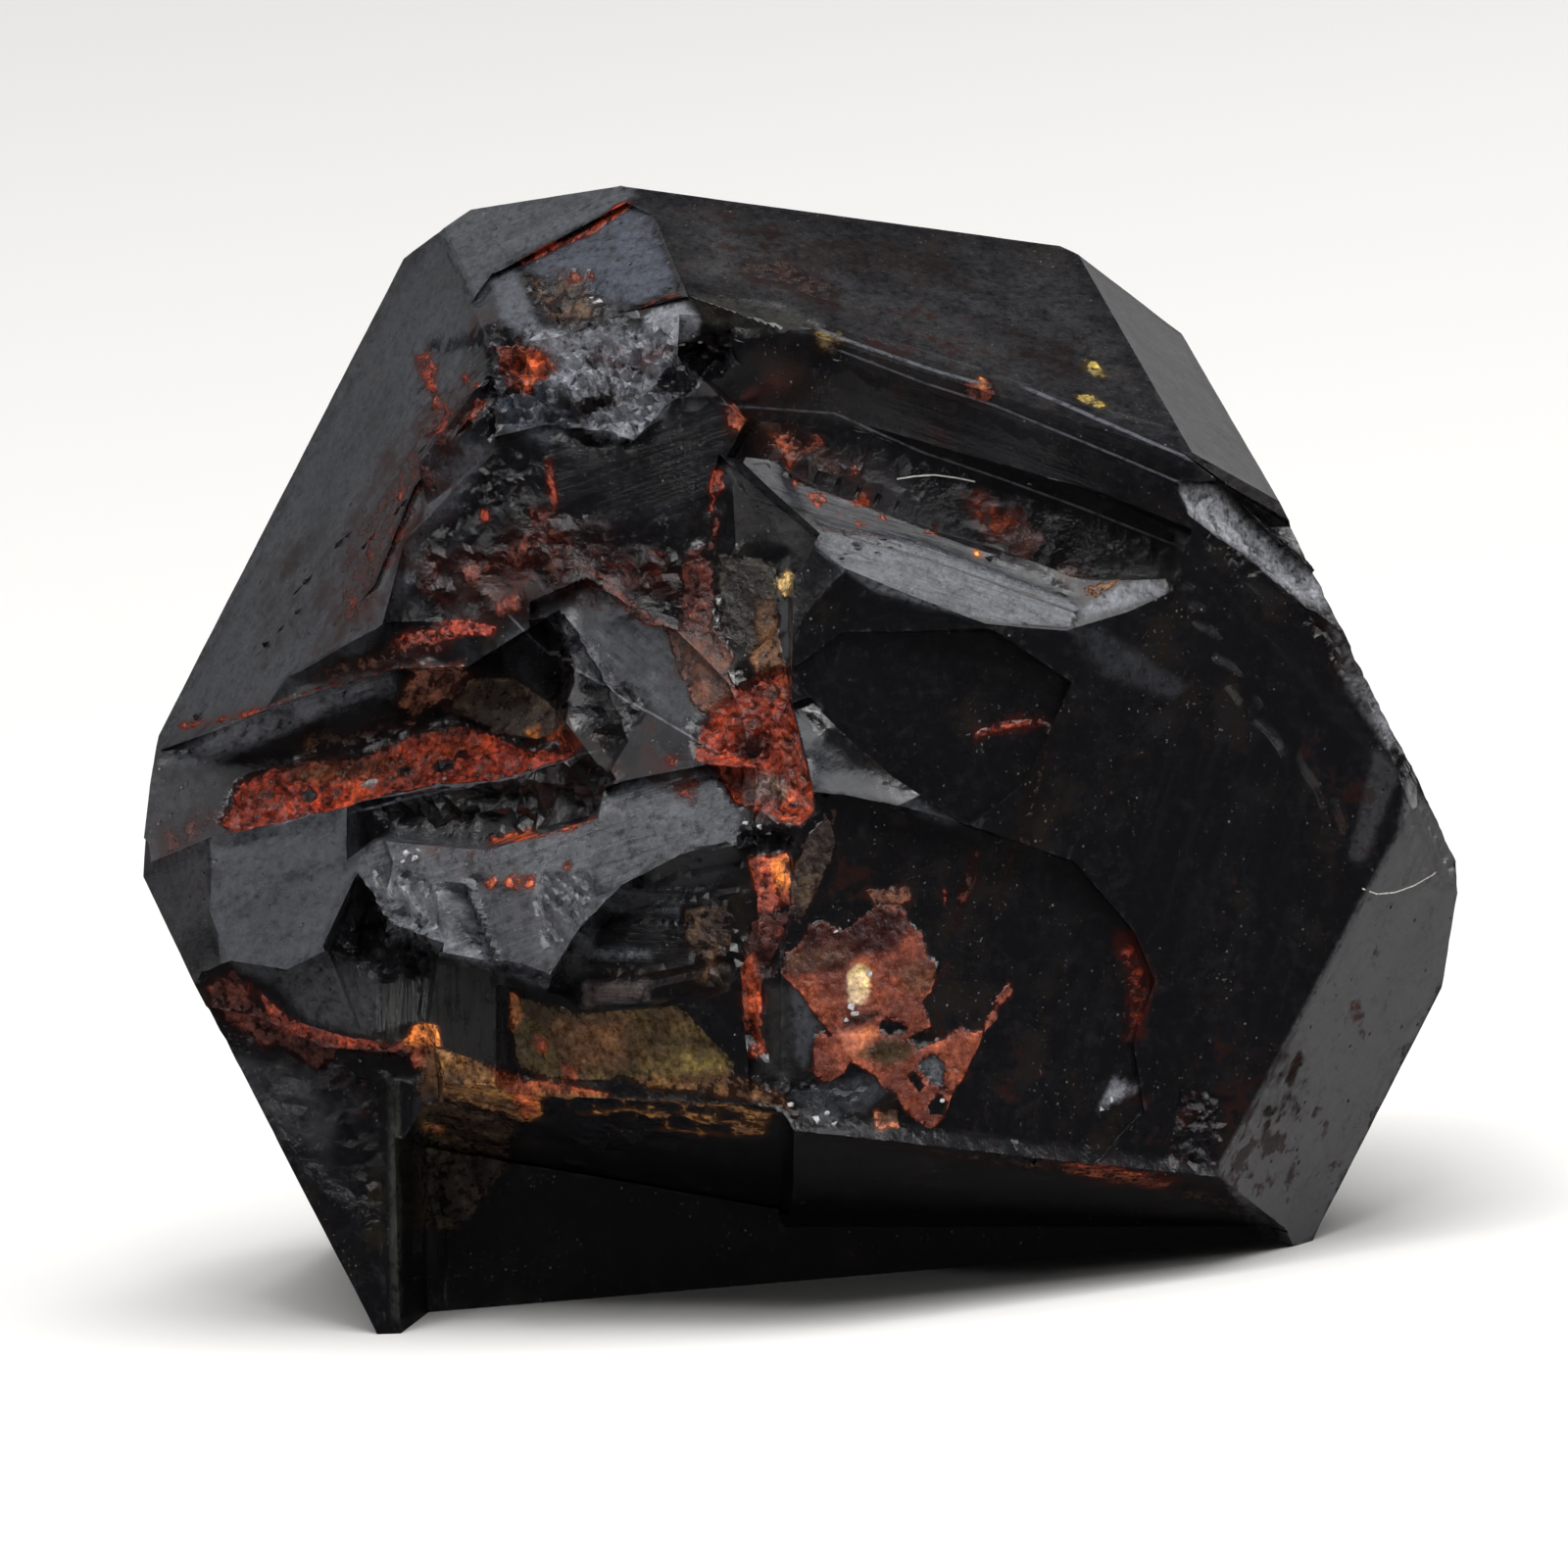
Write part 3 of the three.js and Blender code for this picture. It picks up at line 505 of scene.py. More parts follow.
    "slot_speck_g": (ORANGE_RED, 0.75, 0.03, [(62, 267), (70, 267), (70, 261), (64, 261)]),
    "slot_speck_h": (ORANGE_RED, 0.7, 0.03, [(38, 299), (47, 301), (49, 292), (40, 292)]),
    "slot_speck_i": (ORANGE_RED, 0.66, 0.03, [(92, 256), (108, 258), (110, 250), (93, 250)]),
    "slot_speck_j": (ORANGE, 0.75, 0.03, [(133, 240), (143, 239), (141, 233), (133, 234)]),
    "slot_brown_core": (BROWN_ORANGE, 0.5, 0.059, [(155, 251), (178, 251), (179, 239), (163, 236)]),
    "lens_line_rust": (RUST, 0.5, 0.022, [(21, 255), (67, 246), (67, 243), (22, 250)]),
    "knot_spark": (ORANGE, 0.8, 0.022, [(136, 367), (142, 367), (144, 357), (138, 357)]),
    "lip_dark": (BROWN_RED, 0.6, 0.059, [
        (-374, 144), (-348, 157), (-303, 166), (-274, 170), (-252, 160), (-303, 151), (-355, 135),
    ]),
    "lip_lobe": (WARM_BROWN, 0.96, 0.044, [
        (-263, 126), (-243, 144), (-212, 144), (-188, 128), (-172, 105), (-196, 98), (-229, 103),
        (-250, 114),
    ]),
    "lip_spark": (ORANGE_BRIGHT, 0.9, 0.022, [(-204, 105), (-196, 108), (-194, 101), (-201, 100)]),
    "cleft_roof": (BROWN_RED, 0.62, 0.13, [(-377, 105), (-289, 120), (-259, 108), (-318, 91), (-377, 79)]),
    "cleft_left": (RUST, 0.8, 0.1, [(-435, 34), (-422, 63), (-388, 74), (-377, 40), (-422, 27)]),
    "cleft_tan": (BROWN_ORANGE, 0.8, 0.059, [
        (-385, 76), (-355, 82), (-303, 85), (-296, 74), (-348, 67), (-377, 65),
    ]),
    "cleft_core": (RUST_ORANGE, 0.85, 0.074, [
        (-355, 63), (-303, 77), (-259, 103), (-241, 92), (-266, 70), (-318, 58), (-355, 51),
    ]),
    "cleft_hole_a": (BLACK, 0, 0.03, [(-377, 58), (-369, 63), (-363, 57), (-371, 51)]),
    "cleft_hole_b": (BLACK, 0, 0.022, [(-303, 76), (-295, 80), (-290, 74), (-299, 71)]),
    "cleft_hole_c": (BLACK, 0, 0.03, [(-277, 80), (-260, 85), (-258, 77), (-272, 74)]),
    "cleft_hole_d": (BLACK, 0, 0.022, [(-259, 91), (-249, 92), (-250, 86), (-258, 86)]),
    "seam_core_dark": (DEEP_RED, 0.85, 0.037, [(-33, 137), (-7, 139), (-9, 131), (-30, 125)]),
    "seam_gap": (BLACK, 0, 0.022, [(-38, 28), (-7, 31), (-3, 17), (-30, 9), (-40, 17)]),
    "seam_dark_shade": (RUST_DARK, 0.8, 0.044, [(-31, -34), (-4, -34), (-11, -50), (-28, -56)]),
    "film_brown": (BROWN_RED, 0.99, 0.037, [(-7, -62), (38, -54), (38, -74), (-9, -77)]),
    "film_side": (TAN_RED, 0.99, 0.059, [(78, -74), (100, -67), (105, -80), (96, -94), (81, -89)]),
    "film_line": (DEEP_RED, 0.97, 0.022, [(36, -112), (61, -105), (64, -109), (52, -115), (37, -117)]),
    "film_chunk": (FILM_PALE, 0.97, 0.022, [
        (33, -122), (52, -119), (62, -119), (59, -130), (43, -139), (36, -131),
    ]),
    "film_olive": (MUSTARD_DARK, 0.97, 0.044, [(46, -137), (67, -126), (89, -130), (85, -142), (67, -146)]),
    **gaps("film_hole", 0.015, [
        [(65, -112), (78, -114), (86, -121), (70, -124), (64, -120)],
        [(87, -127), (100, -120), (107, -124), (104, -130), (92, -134)],
        [(92, -145), (104, -138), (112, -145), (110, -158), (113, -164), (102, -159), (96, -152)],
        [(84, -154), (90, -151), (98, -163), (92, -166)],
        [(99, -176), (107, -168), (114, -174), (112, -184), (101, -182)],
    ]),
    "film_chip_edge": (FILM_PALE, 0.9, 0.015, [
        (61, -180), (64, -180), (65, -191), (80, -190), (80, -194), (62, -196),
    ]),
    "above_film": (TAN_RED, 0.7, 0.037, [(52, -15), (85, -11), (90, -23), (81, -28), (59, -28)]),
    "above_film_right": (RUST, 0.8, 0.03, [(110, -11), (115, -15), (114, -30), (111, -28)]),
    "rim_hole": (BLACK, 0, 0.037, [(-344, -139), (-303, -145), (-296, -152), (-340, -167), (-352, -156)]),
    "rim_orange_low": (ORANGE_RED, 0.9, 0.03, [(-290, -137), (-277, -134), (-281, -151), (-289, -152)]),
    "rim_tan_orange": (ORANGE_RED, 0.75, 0.03, [
        (-229, -146), (-200, -158), (-155, -164), (-137, -168), (-155, -170), (-194, -167), (-191, -186),
        (-203, -192), (-215, -167),
    ]),
    "amber_glow": (MUSTARD, 0.34, 0.059, [(-96, -131), (-59, -137), (-50, -149), (-67, -158), (-96, -154)]),
    "amber_foot": (BROWN_ORANGE, 0.7, 0.044, [
        (-126, -158), (-43, -151), (-7, -167), (7, -185), (-37, -173), (-111, -164),
    ]),
    "spike_olive_left": (OLIVE_STAIN, 0.4, 0.059, [(-321, -219), (-308, -219), (-308, -300), (-324, -293)]),
    "spike_dot": (ORANGE, 0.8, 0.022, [(-277, -199), (-265, -201), (-266, -207), (-275, -206)]),
    # A painted golden glint: light caught inside the translucent garnet
    "gold_spark": (GOLD, 0.95, 0.022, [(-16, 216), (-7, 222), (-1, 221), (-3, 211), (-7, 202), (-13, 205)]),
    "web_red": (RUST_BRIGHT, 0.8, 0.03, [(-274, 184), (-252, 188), (-221, 181), (-226, 172), (-252, 174)]),
    "ledge_spots_left": (ORANGE_RED, 0.72, 0.03, [(-234, -9), (-223, -4), (-219, -11), (-229, -16)]),
    "ledge_haze": (PINK_RUST, 0.3, 0.089, [(-281, 21), (-215, 18), (-185, -4), (-229, -11), (-266, -4)]),
    "web_left_low": (RUST_DARK, 0.62, 0.067, [(-229, 205), (-200, 209), (-202, 190), (-226, 181)]),
    "web_speck": (RUST, 0.8, 0.03, [(-238, 270), (-229, 268), (-231, 258), (-238, 259)]),
    "left_smear": (BROWN_RED, 0.5, 0.089, [
        (-307, 303), (-290, 292), (-314, 218), (-352, 162), (-364, 170), (-339, 211),
    ]),
    "hollow_side": (BROWN, 0.5, 0.074, [
        (184, 114), (198, 111), (186, 48), (163, -11), (149, -8), (170, 51),
    ]),
    **gaps("rim_net_cell", 0.015, [
        [(-185, -174), (-172, -174), (-172, -183), (-185, -182)],
        [(-167, -174), (-152, -175), (-152, -185), (-167, -184)],
        [(-147, -174), (-130, -175), (-131, -182), (-147, -182)],
        [(-157, -188), (-142, -188), (-142, -196), (-155, -194)],
        [(-137, -185), (-121, -186), (-121, -196), (-136, -195)],
        [(-125, -175), (-110, -176), (-110, -182), (-124, -182)],
        [(-116, -187), (-99, -188), (-99, -199), (-115, -196)],
        [(-104, -177), (-86, -179), (-86, -185), (-103, -183)],
        [(-93, -189), (-75, -190), (-75, -200), (-93, -199)],
        [(-80, -180), (-62, -182), (-62, -188), (-79, -186)],
        [(-70, -192), (-49, -194), (-49, -201), (-70, -200)],
        [(-56, -184), (-38, -187), (-39, -191), (-56, -190)],
    ]),
    "rim_streak": (RUST, 0.84, 0.03, [
        (-411, -85), (-377, -115), (-333, -128), (-289, -130), (-290, -135), (-340, -135), (-388, -124),
    ]),
    "web_cross": (RUST_DARK, 0.7, 0.037, [
        (-252, 222), (-215, 240), (-185, 249), (-184, 243), (-211, 231), (-244, 212),
    ]),
    "web_arm": (RUST, 0.7, 0.03, [(-188, 307), (-181, 307), (-176, 270), (-184, 267)]),
    "left_edge_specks": (RUST, 0.7, 0.03, [(-303, 285), (-295, 287), (-297, 276), (-305, 274)]),
    "hollow_specks": (RUST_DARK, 0.5, 0.19, [
        (-281, 225), (-185, 270), (-89, 233), (-81, 196), (-185, 196), (-266, 181),
    ]),
    "left_specks_wide": (RUST_DARK, 0.5, 0.19, [
        (-355, 240), (-281, 359), (-244, 359), (-252, 299), (-303, 196), (-355, 151),
    ]),
}

# Outlines that the relief and the growth lines share
FACE_ON_THE_LEFT = [
    (-511, 107), (-274, 495), (-241, 425), (-252, 329), (-285, 277), (-314, 211), (-377, 133),
    (-488, 92),
]
TOP_OF_RIGHT_BEVEL = [(445, 100), (466, 92), (503, 18), (503, -11), (474, -11), (454, 28)]
BEND_IN_THE_LEDGE = [(-188, -4), (-155, -4), (-135, -30), (-155, -67), (-185, -56), (-192, -23)]
STEPS_LEFT_OF_THE_LEDGE = [(-314, 0), (-274, -8), (-259, -56), (-303, -52)]
# The whole view, for the faces behind
EVERYWHERE = [(-900, -900), (900, -900), (900, 900), (-900, 900)]

# Relief in the front view: kind, depth, size of its grains, angle, width of the soft border,
# outline, or the name of the area that has it
RELIEF = {
    "crust": ("crumple", 0.14, 0.11, 0, 0.044, [
        (-226, 407), (-185, 399), (-155, 399), (-118, 407), (-81, 392), (-50, 402), (-48, 379),
        (-81, 355), (-122, 316), (-155, 317), (-185, 336), (-215, 336), (-229, 322), (-237, 366),
    ]),
    "crust_grain": ("knobs", 0.045, 0.07, 0, 0.044, [
        (-226, 407), (-185, 399), (-118, 403), (-81, 381), (-126, 351), (-155, 359), (-185, 329),
        (-215, 329), (-233, 359),
    ]),
    "knob": ("lumps", 0.05, 0.2, 0, 0.044, [(-87, 402), (-50, 402), (-48, 379), (-84, 379)]),
    "crust_left": ("chips", 0.05, 0.12, 0, 0.059, [
        (-233, 307), (-185, 307), (-229, 270), (-274, 240), (-281, 251),
    ]),
    "web": ("crumple", 0.06, 0.22, 0, 0.1, [
        (-281, 262), (-200, 285), (-89, 240), (-81, 181), (-155, 203), (-200, 211), (-281, 174),
    ]),
    "under_crack": ("steps", 0.02, 0.12, -4, 0.044, [
        (-207, 451), (-126, 495), (-107, 488), (-83, 424), (-126, 414), (-163, 403),
    ]),
    "chipped_ring": ("lumps", 0.09, 0.16, 0, 0.044, [
        (-285, 396), (-237, 399), (-226, 359), (-244, 325), (-281, 329),
    ]),
    "left_face": ("lumps", 0.035, 0.28, 0, 0.15, FACE_ON_THE_LEFT),
    "left_strip": ("lumps", 0.03, 0.16, 0, 0.059, [
        (-252, 329), (-226, 318), (-266, 240), (-300, 185), (-344, 137), (-377, 133), (-314, 211),
        (-285, 277),
    ]),
    "slot": ("chips", 0.03, 0.2, 0, 0.089, [
        (-22, 336), (281, 240), (281, 211), (215, 214), (44, 281), (-22, 307),
    ]),
    "lens": ("steps", 0.006, 0.09, -18, 0.03, "lens"),
    "ledge": ("steps", 0.008, 0.1, 18, 0.044, "ledge"),
    "ledge_left_steps": ("steps", 0.05, 0.15, -58, 0.03, STEPS_LEFT_OF_THE_LEDGE),
    "ledge_notch": ("tilt", 0.16, 0.1, 30, 0.015, [(-270, -14), (-246, -13), (-221, -74)]),
    "ledge_bend_steps": ("steps", 0.045, 0.13, -42, 0.037, BEND_IN_THE_LEDGE),
    "ledge_steps": ("steps", 0.03, 0.07, -3, 0.03, [(-147, -15), (-81, -17), (-87, -43), (-152, -38)]),
    "stepped_hollow": ("steps", 0.07, 0.16, 12, 0.059, [
        (-154, -15), (-41, 11), (-43, -74), (-111, -85), (-163, -85),
    ]),
    "slate_face": ("lumps", 0.035, 0.16, 0, 0.059, [
        (-196, 202), (-155, 212), (-89, 174), (-46, 88), (-126, 133),
    ]),
    "black_stripe": ("crumple", 0.1, 0.14, 0, 0.059, [
        (-191, 181), (-163, 177), (-111, 122), (-137, 88), (-185, 137),
    ]),
    "upper_lip": ("lumps", 0.07, 0.2, 0, 0.059, [
        (-481, 81), (-429, 105), (-370, 137), (-274, 165), (-243, 144), (-263, 125), (-289, 113),
        (-318, 132), (-377, 105), (-414, 91),
    ]),
    "cleft_floor": ("chips", 0.05, 0.1, 0, 0.037, "cleft_red"),
    "cleft_lumps": ("lumps", 0.07, 0.14, 0, 0.037, "cleft_red"),
    "black_band": ("crumple", 0.12, 0.18, 0, 0.059, [
        (-318, 48), (-200, 74), (-126, 70), (-155, 40), (-229, 27), (-303, 29),
    ]),
    "black_gap": ("chips", 0.09, 0.12, 0, 0.044, [
        (-324, -11), (-274, -37), (-274, -78), (-307, -85), (-344, -67),
    ]),
    "shield": ("lumps", 0.035, 0.2, 0, 0.074, [
        (-442, 17), (-324, 54), (-323, -11), (-344, -62), (-380, -90), (-442, -34),
    ]),
    "seam_top": ("lumps", 0.05, 0.13, 0, 0.044, [
        (-89, 228), (-56, 299), (-44, 240), (-7, 233), (-6, 144), (-37, 129), (-89, 174),
    ]),
    "seam": ("lumps", 0.1, 0.17, 0, 0.037, "seam_core"),
    "seam_grain": ("chips", 0.05, 0.08, 0, 0.037, "seam_core"),
    "seam_pit": ("pit", 0.14, 0.1, 0, 0.059, [(-46, 101), (-28, 102), (-25, 85), (-41, 80)]),
    "seam_low": ("lumps", 0.09, 0.12, 0, 0.037, [
        (-41, 26), (-3, 18), (-3, -30), (-22, -93), (-18, -141), (-44, -122), (-41, -34),
    ]),
    "seam_gap": ("pit", 0.1, 0.1, 0, 0.037, [(-40, 27), (-7, 28), (-3, 17), (-36, 12)]),
    "film": ("raise", 0.022, 0.09, 0, 0.011, "film"),
    "film_grain": ("chips", 0.014, 0.1, 0, 0.022, "film"),
    "lobe": ("lumps", 0.03, 0.3, 0, 0.1, [
        (111, 3), (207, 3), (266, -85), (252, -130), (141, -174), (111, -85),
    ]),
    "grey_block": ("steps", 0.01, 0.1, 90, 0.03, "grey_block"),
    "amber": ("lumps", 0.06, 0.2, 0, 0.059, "amber"),
    "rim": ("lumps", 0.06, 0.14, 0, 0.044, [
        (-448, -78), (-355, -130), (-281, -122), (-266, -159), (-355, -159), (-440, -115),
    ]),
    "rim_band": ("chips", 0.04, 0.2, 0, 0.074, [
        (-281, -131), (-126, -168), (-7, -174), (-7, -233), (-281, -226),
    ]),
    "spike": ("steps", 0.03, 0.2, 90, 0.059, [(-326, -152), (-259, -159), (-266, -330), (-311, -341)]),
    "spike_lumps": ("chips", 0.06, 0.22, 0, 0.1, [
        (-429, -130), (-318, -152), (-307, -219), (-318, -278), (-377, -219),
    ]),
    "right_chips": ("chips", 0.05, 0.12, 0, 0.059, [
        (285, 287), (344, 262), (407, 211), (460, 103), (444, 88), (396, 166), (363, 203), (311, 236),
    ]),
    "right_bevel": ("lumps", 0.02, 0.3, 0, 0.059, [
        (454, 28), (460, 85), (511, 3), (511, -71), (400, -293), (339, -263), (317, -228),
    ]),
    "right_bevel_top": ("steps", 0.03, 0.08, 68, 0.059, TOP_OF_RIGHT_BEVEL),
    "right_low_chips": ("chips", 0.06, 0.12, 0, 0.059, [
        (289, -159), (326, -174), (318, -226), (281, -219),
    ]),
    "low_rim": ("chips", 0.022, 0.12, 0, 0.059, [
        (-185, -152), (-44, -161), (15, -182), (111, -191), (200, -202), (318, -219), (377, -293),
        (318, -250), (111, -222), (-44, -185),
    ]),
    "low_middle": ("chips", 0.05, 0.18, 0, 0.089, [
        (-22, -152), (44, -159), (111, -193), (15, -193), (-37, -167),
    ]),
    "chip_above_crust": ("chips", 0.05, 0.14, 0, 0.044, [
        (-200, 444), (-155, 449), (-122, 421), (-115, 407), (-155, 396), (-189, 399),
    ]),
    "top_wedge": ("tilt", 0.05, 0.1, -70, 0.022, [
        (-78, 431), (-7, 422), (21, 406), (-37, 398), (-65, 407),
    ]),
    "ledge_middle": ("tilt", 0.05, 0.1, 215, 0.022, "ledge_middle"),
    "step_facet": ("tilt", 0.1, 0.1, -50, 0.015, "step_facet"),
    **{f"film_hole_{k}": ("pit", 0.03, 0.1, 0, 0.015, f"film_hole_{k}") for k in "abc"},
    "film_gold": ("knobs", 0.05, 0.07, 0, 0.022, "film_gold"),
    "lip_lobe": ("tilt", 0.08, 0.1, -70, 0.03, "lip_lobe"),
    "gold_spark": ("knobs", 0.06, 0.07, 0, 0.022, "gold_spark"),
    "lens_top": ("tilt", 0.09, 0.1, 72, 0.044, [
        (-7, 298), (44, 285), (96, 262), (141, 240), (185, 218), (213, 202), (185, 206), (141, 224),
        (96, 242), (52, 249), (22, 253), (1, 270),
    ]),
    "seam_glass": ("knobs", 0.05, 0.08, 0, 0.03, "seam_gap"),
    "crescent": ("lumps", 0.035, 0.14, 0, 0.03, [
        (-7, 125), (22, 108), (52, 86), (133, 24), (67, 26), (15, 40), (-7, 77),
    ]),
    "seam_brown": ("tilt", 0.1, 0.1, -90, 0.037, "seam_brown"),
}

# Fine growth lines: angle, pitch, strength, width of the soft border, outline or name
LINES = {
    "lens": (-18, 0.035, 0.7, 0.022, "lens"),
    "lens_top": (-17, 0.05, 0.6, 0.03, "lens_top"),
    "smooth_hollow": (19, 0.06, 0.8, 0.089, [
        (-185, 318), (-118, 322), (-48, 350), (-53, 285), (-126, 255), (-178, 266),
    ]),
    "slot": (-20, 0.12, 0.4, 0.074, [(-37, 344), (274, 248), (281, 285), (37, 373)]),
    "ridges": (-20, 0.06, 0.7, 0.13, [
        (38, 399), (141, 369), (292, 318), (292, 285), (141, 335), (41, 376),
    ]),
    "block": (90, 0.05, 0.9, 0.022, "grey_block"),
    "block_side": (90, 0.04, 1, 0.022, [(-314, -74), (-281, -67), (-281, -134), (-314, -130)]),
    "spike": (90, 0.09, 0.9, 0.044, [(-318, -152), (-259, -152), (-266, -341), (-307, -341)]),
    "ledge": (18, 0.05, 0.6, 0.037, "ledge"),
    "ledge_bands": (-42, 0.06, 0.8, 0.037, BEND_IN_THE_LEDGE),
    "ledge_slats": (-58, 0.06, 0.8, 0.037, STEPS_LEFT_OF_THE_LEDGE),
    "step_streaks": (-3, 0.045, 1, 0.03, [(-152, -11), (-44, -11), (-52, -74), (-155, -74)]),
    "top_left": (24, 0.09, 0.5, 0.037, "top_left_bevel"),
    "under_crack": (12, 0.08, 0.6, 0.03, "under_crack"),
    "right_lines": (-47, 0.14, 0.5, 0.089, [
        (281, 270), (311, 240), (437, 92), (422, 18), (326, 137), (274, 240),
    ]),
    "right_bevel_top": (-64, 0.05, 1, 0.059, TOP_OF_RIGHT_BEVEL),
    "pink_bar": (0, 0.03, 0.7, 0.022, "pink_bar"),
    "lip": (16, 0.1, 0.6, 0.037, "upper_lip"),
    "left_face": (62, 0.13, 0.5, 0.15, [
        (-511, 107), (-274, 495), (-241, 425), (-255, 329), (-285, 277), (-314, 211), (-377, 133),
        (-488, 92),
    ]),
    "right_face": (73, 0.09, 0.32, 0.15, [
        (207, 181), (281, 240), (422, 92), (414, 3), (318, -226), (281, -196), (281, -71), (222, 63),
    ]),
    "lobe": (60, 0.14, 0.25, 0.15, [(111, 3), (207, -11), (259, -85), (237, -174), (111, -167)]),
    "top_face": (-22, 0.16, 0.5, 0.15, [
        (-81, 495), (215, 455), (281, 322), (141, 366), (37, 410), (-37, 433),
    ]),
    "slate": (-38, 0.07, 0.45, 0.037, "slate_face"),
}

# Single thin lines, the pale ones along ridges and lips painted glints: pale 1 or dark 0,
# half width, strength, points
SCRATCHES_AND_GLINTS = {
    "slate_line": (1, 0.009, 0.55, [(-204, 179), (-185, 160), (-155, 144), (-70, 94)]),
    "lens_line": (0, 0.009, 0.95, [(21, 256), (41, 246), (96, 231), (204, 192)]),
    "second_ridge": (1, 0.009, 0.5, [(-41, 345), (30, 339), (96, 310), (155, 290), (215, 268), (270, 246)]),
    "top_ridge": (1, 0.014, 0.6, [(19, 403), (43, 393), (111, 369), (130, 364)]),
    "top_ridge_right": (1, 0.014, 0.6, [(184, 353), (229, 333), (285, 307)]),
    "low_ridge": (1, 0.009, 0.5, [(278, 289), (215, 316), (148, 344), (96, 361), (38, 384)]),
    "cleft_lip": (1, 0.01, 0.7, [(-377, 36), (-326, 51), (-266, 63), (-229, 67), (-196, 75), (-164, 83)]),
    "band_lip": (1, 0.01, 0.7, [(-244, 63), (-289, 52), (-324, 43)]),
}

# Specks of pale crystal on the front, a few of them, at the low rim and beside the seam, painted
# glints: right and up in hundredths, size in millimetres
GRAINS_AND_GLINTS = [
    (-320, 65, 0.06), (-289, 12, 0.034), (-283, 7, 0.028), (-292, 5, 0.024), (-280, 13, 0.018),
    (-147, 424, 0.03), (-152, 427, 0.018), (-26, 31, 0.026), (-36, 34, 0.022), (-19, 26, 0.016),
    (31, -46, 0.022), (42, -102, 0.03), (44, -108, 0.026), (55, -78, 0.026), (38, -112, 0.018),
    (16, -186, 0.03), (30, -190, 0.024), (-3, -175, 0.02), (24, -181, 0.016), (-263, 66, 0.018),
    (229, -180, 0.02), (237, -173, 0.022), (110, -173, 0.018), (-84, 392, 0.018), (-70, 394, 0.016),
    (-75, 398, 0.012),
]

# Fine threads caught on the front
THREADS = [
    [(77, 290), (90, 292), (105, 293), (120, 291), (135, 288)],
    [(426, -16), (437, -20), (451, -19), (466, -14), (481, -6), (491, 4)],
]


def aim_camera():
    distance = VIEW_WIDTH * LENS / SENSOR
    data = bpy.data.cameras.new("camera")
    data.lens = LENS
    data.sensor_width = SENSOR
    data.clip_start = distance * 0.2
    data.clip_end = 20
    camera = bpy.data.objects.new("camera", data)
    bpy.context.scene.collection.objects.link(camera)
    at = MIDDLE + RIGHT * LOOKS_AT[0] + UPWARD * LOOKS_AT[1] + AHEAD * distance
    turn = Matrix((RIGHT, UPWARD, AHEAD)).transposed().to_4x4()
    camera.matrix_world = Matrix.Translation(at) @ turn
    bpy.context.scene.camera = camera


def lay_floor():
    bpy.ops.mesh.primitive_plane_add(size=4, location=(0, 1.2, 0))
    floor = bpy.context.object
    floor.name = "floor"
    paper = bpy.data.materials.new("pale_paper")
    paper.use_nodes = True
    shader = paper.node_tree.nodes["Principled BSDF"]
    shader.inputs["Base Color"].default_value = (0.85, 0.84, 0.82, 1)
    shader.inputs["Roughness"].default_value = 0.9
    floor.data.materials.append(paper)
    # The glossy faces mirror the lights alone, not the paper
    floor.visible_glossy = False


def softbox(name, azimuth, elevation, size, strength, distance=0.12):
    """A soft rectangle of light. Azimuth 0 is behind the crystal and 90 to its right."""
    turn, rise = math.radians(azimuth), math.radians(elevation)
    level = math.cos(rise)
    out = Vector((math.sin(turn) * level, math.cos(turn) * level, math.sin(rise)))
    data = bpy.data.lights.new(name, "AREA")
    data.shape = "RECTANGLE"
    data.size, data.size_y = size
    data.energy = strength * size[0] * size[1] * math.pi
    light = bpy.data.objects.new(name, data)
    bpy.context.scene.collection.objects.link(light)
    light.location = MIDDLE + out * distance
    light.rotation_euler = out.to_track_quat("Z", "Y").to_euler()


def hang_lights():
    """Soft lights, where the crystal's faces mirror them to the camera, and an even fill."""
    softbox("overhead_right", 130, 62, (0.11, 0.1), 1.05)
    softbox("overhead_front", 182, 68, (0.06, 0.06), 1.6)
    softbox("overhead_left", -114, 52, (0.09, 0.07), 0.3)
    softbox("left_side", -88, 30, (0.06, 0.06), 0.42)
    softbox("left_back", -50, 22, (0.06, 0.06), 0.22)
    softbox("top_left_back", -42, 58, (0.04, 0.04), 0.5)
    softbox("right_back", 28, 18, (0.06, 0.06), 0.4)
    softbox("right_side", 94, 16, (0.05, 0.05), 3.4)
    softbox("small_front", 176, 42, (0.012, 0.012), 22)
    softbox("small_left", -150, 66, (0.012, 0.012), 18)
    softbox("small_low_left", -146, 28, (0.01, 0.01), 18)
    sun = bpy.data.lights.new("fill", "SUN")
    sun.energy = 3.0
    sun.angle = math.radians(60)
    light = bpy.data.objects.new("fill", sun)
    bpy.context.scene.collection.objects.link(light)
    light.rotation_euler = (math.radians(20), 0, 0)
    light.visible_glossy = False


def room_light():
    world = bpy.data.worlds.new("room")
    bpy.context.scene.world = world
    world.use_nodes = True
    background = world.node_tree.nodes["Background"]
    background.inputs["Color"].default_value = (0.02, 0.02, 0.021, 1)
    background.inputs["Strength"].default_value = 1


def chance(cells, salt):
    """A fixed number from 0 to 1 for each whole-number cell, mixed from its three numbers."""
    mixed = cells[..., 0] * 73856093 ^ cells[..., 1] * 19349663 ^ cells[..., 2] * 83492791
    mixed = (mixed ^ salt * 50331653) & 0x7FFFFFFF
    mixed = ((mixed ^ mixed >> 15) * 739982445) & 0x7FFFFFFF
    mixed = ((mixed ^ mixed >> 12) * 695872825) & 0x7FFFFFFF
    return ((mixed ^ mixed >> 15) & 0xFFFFF) / 0xFFFFF


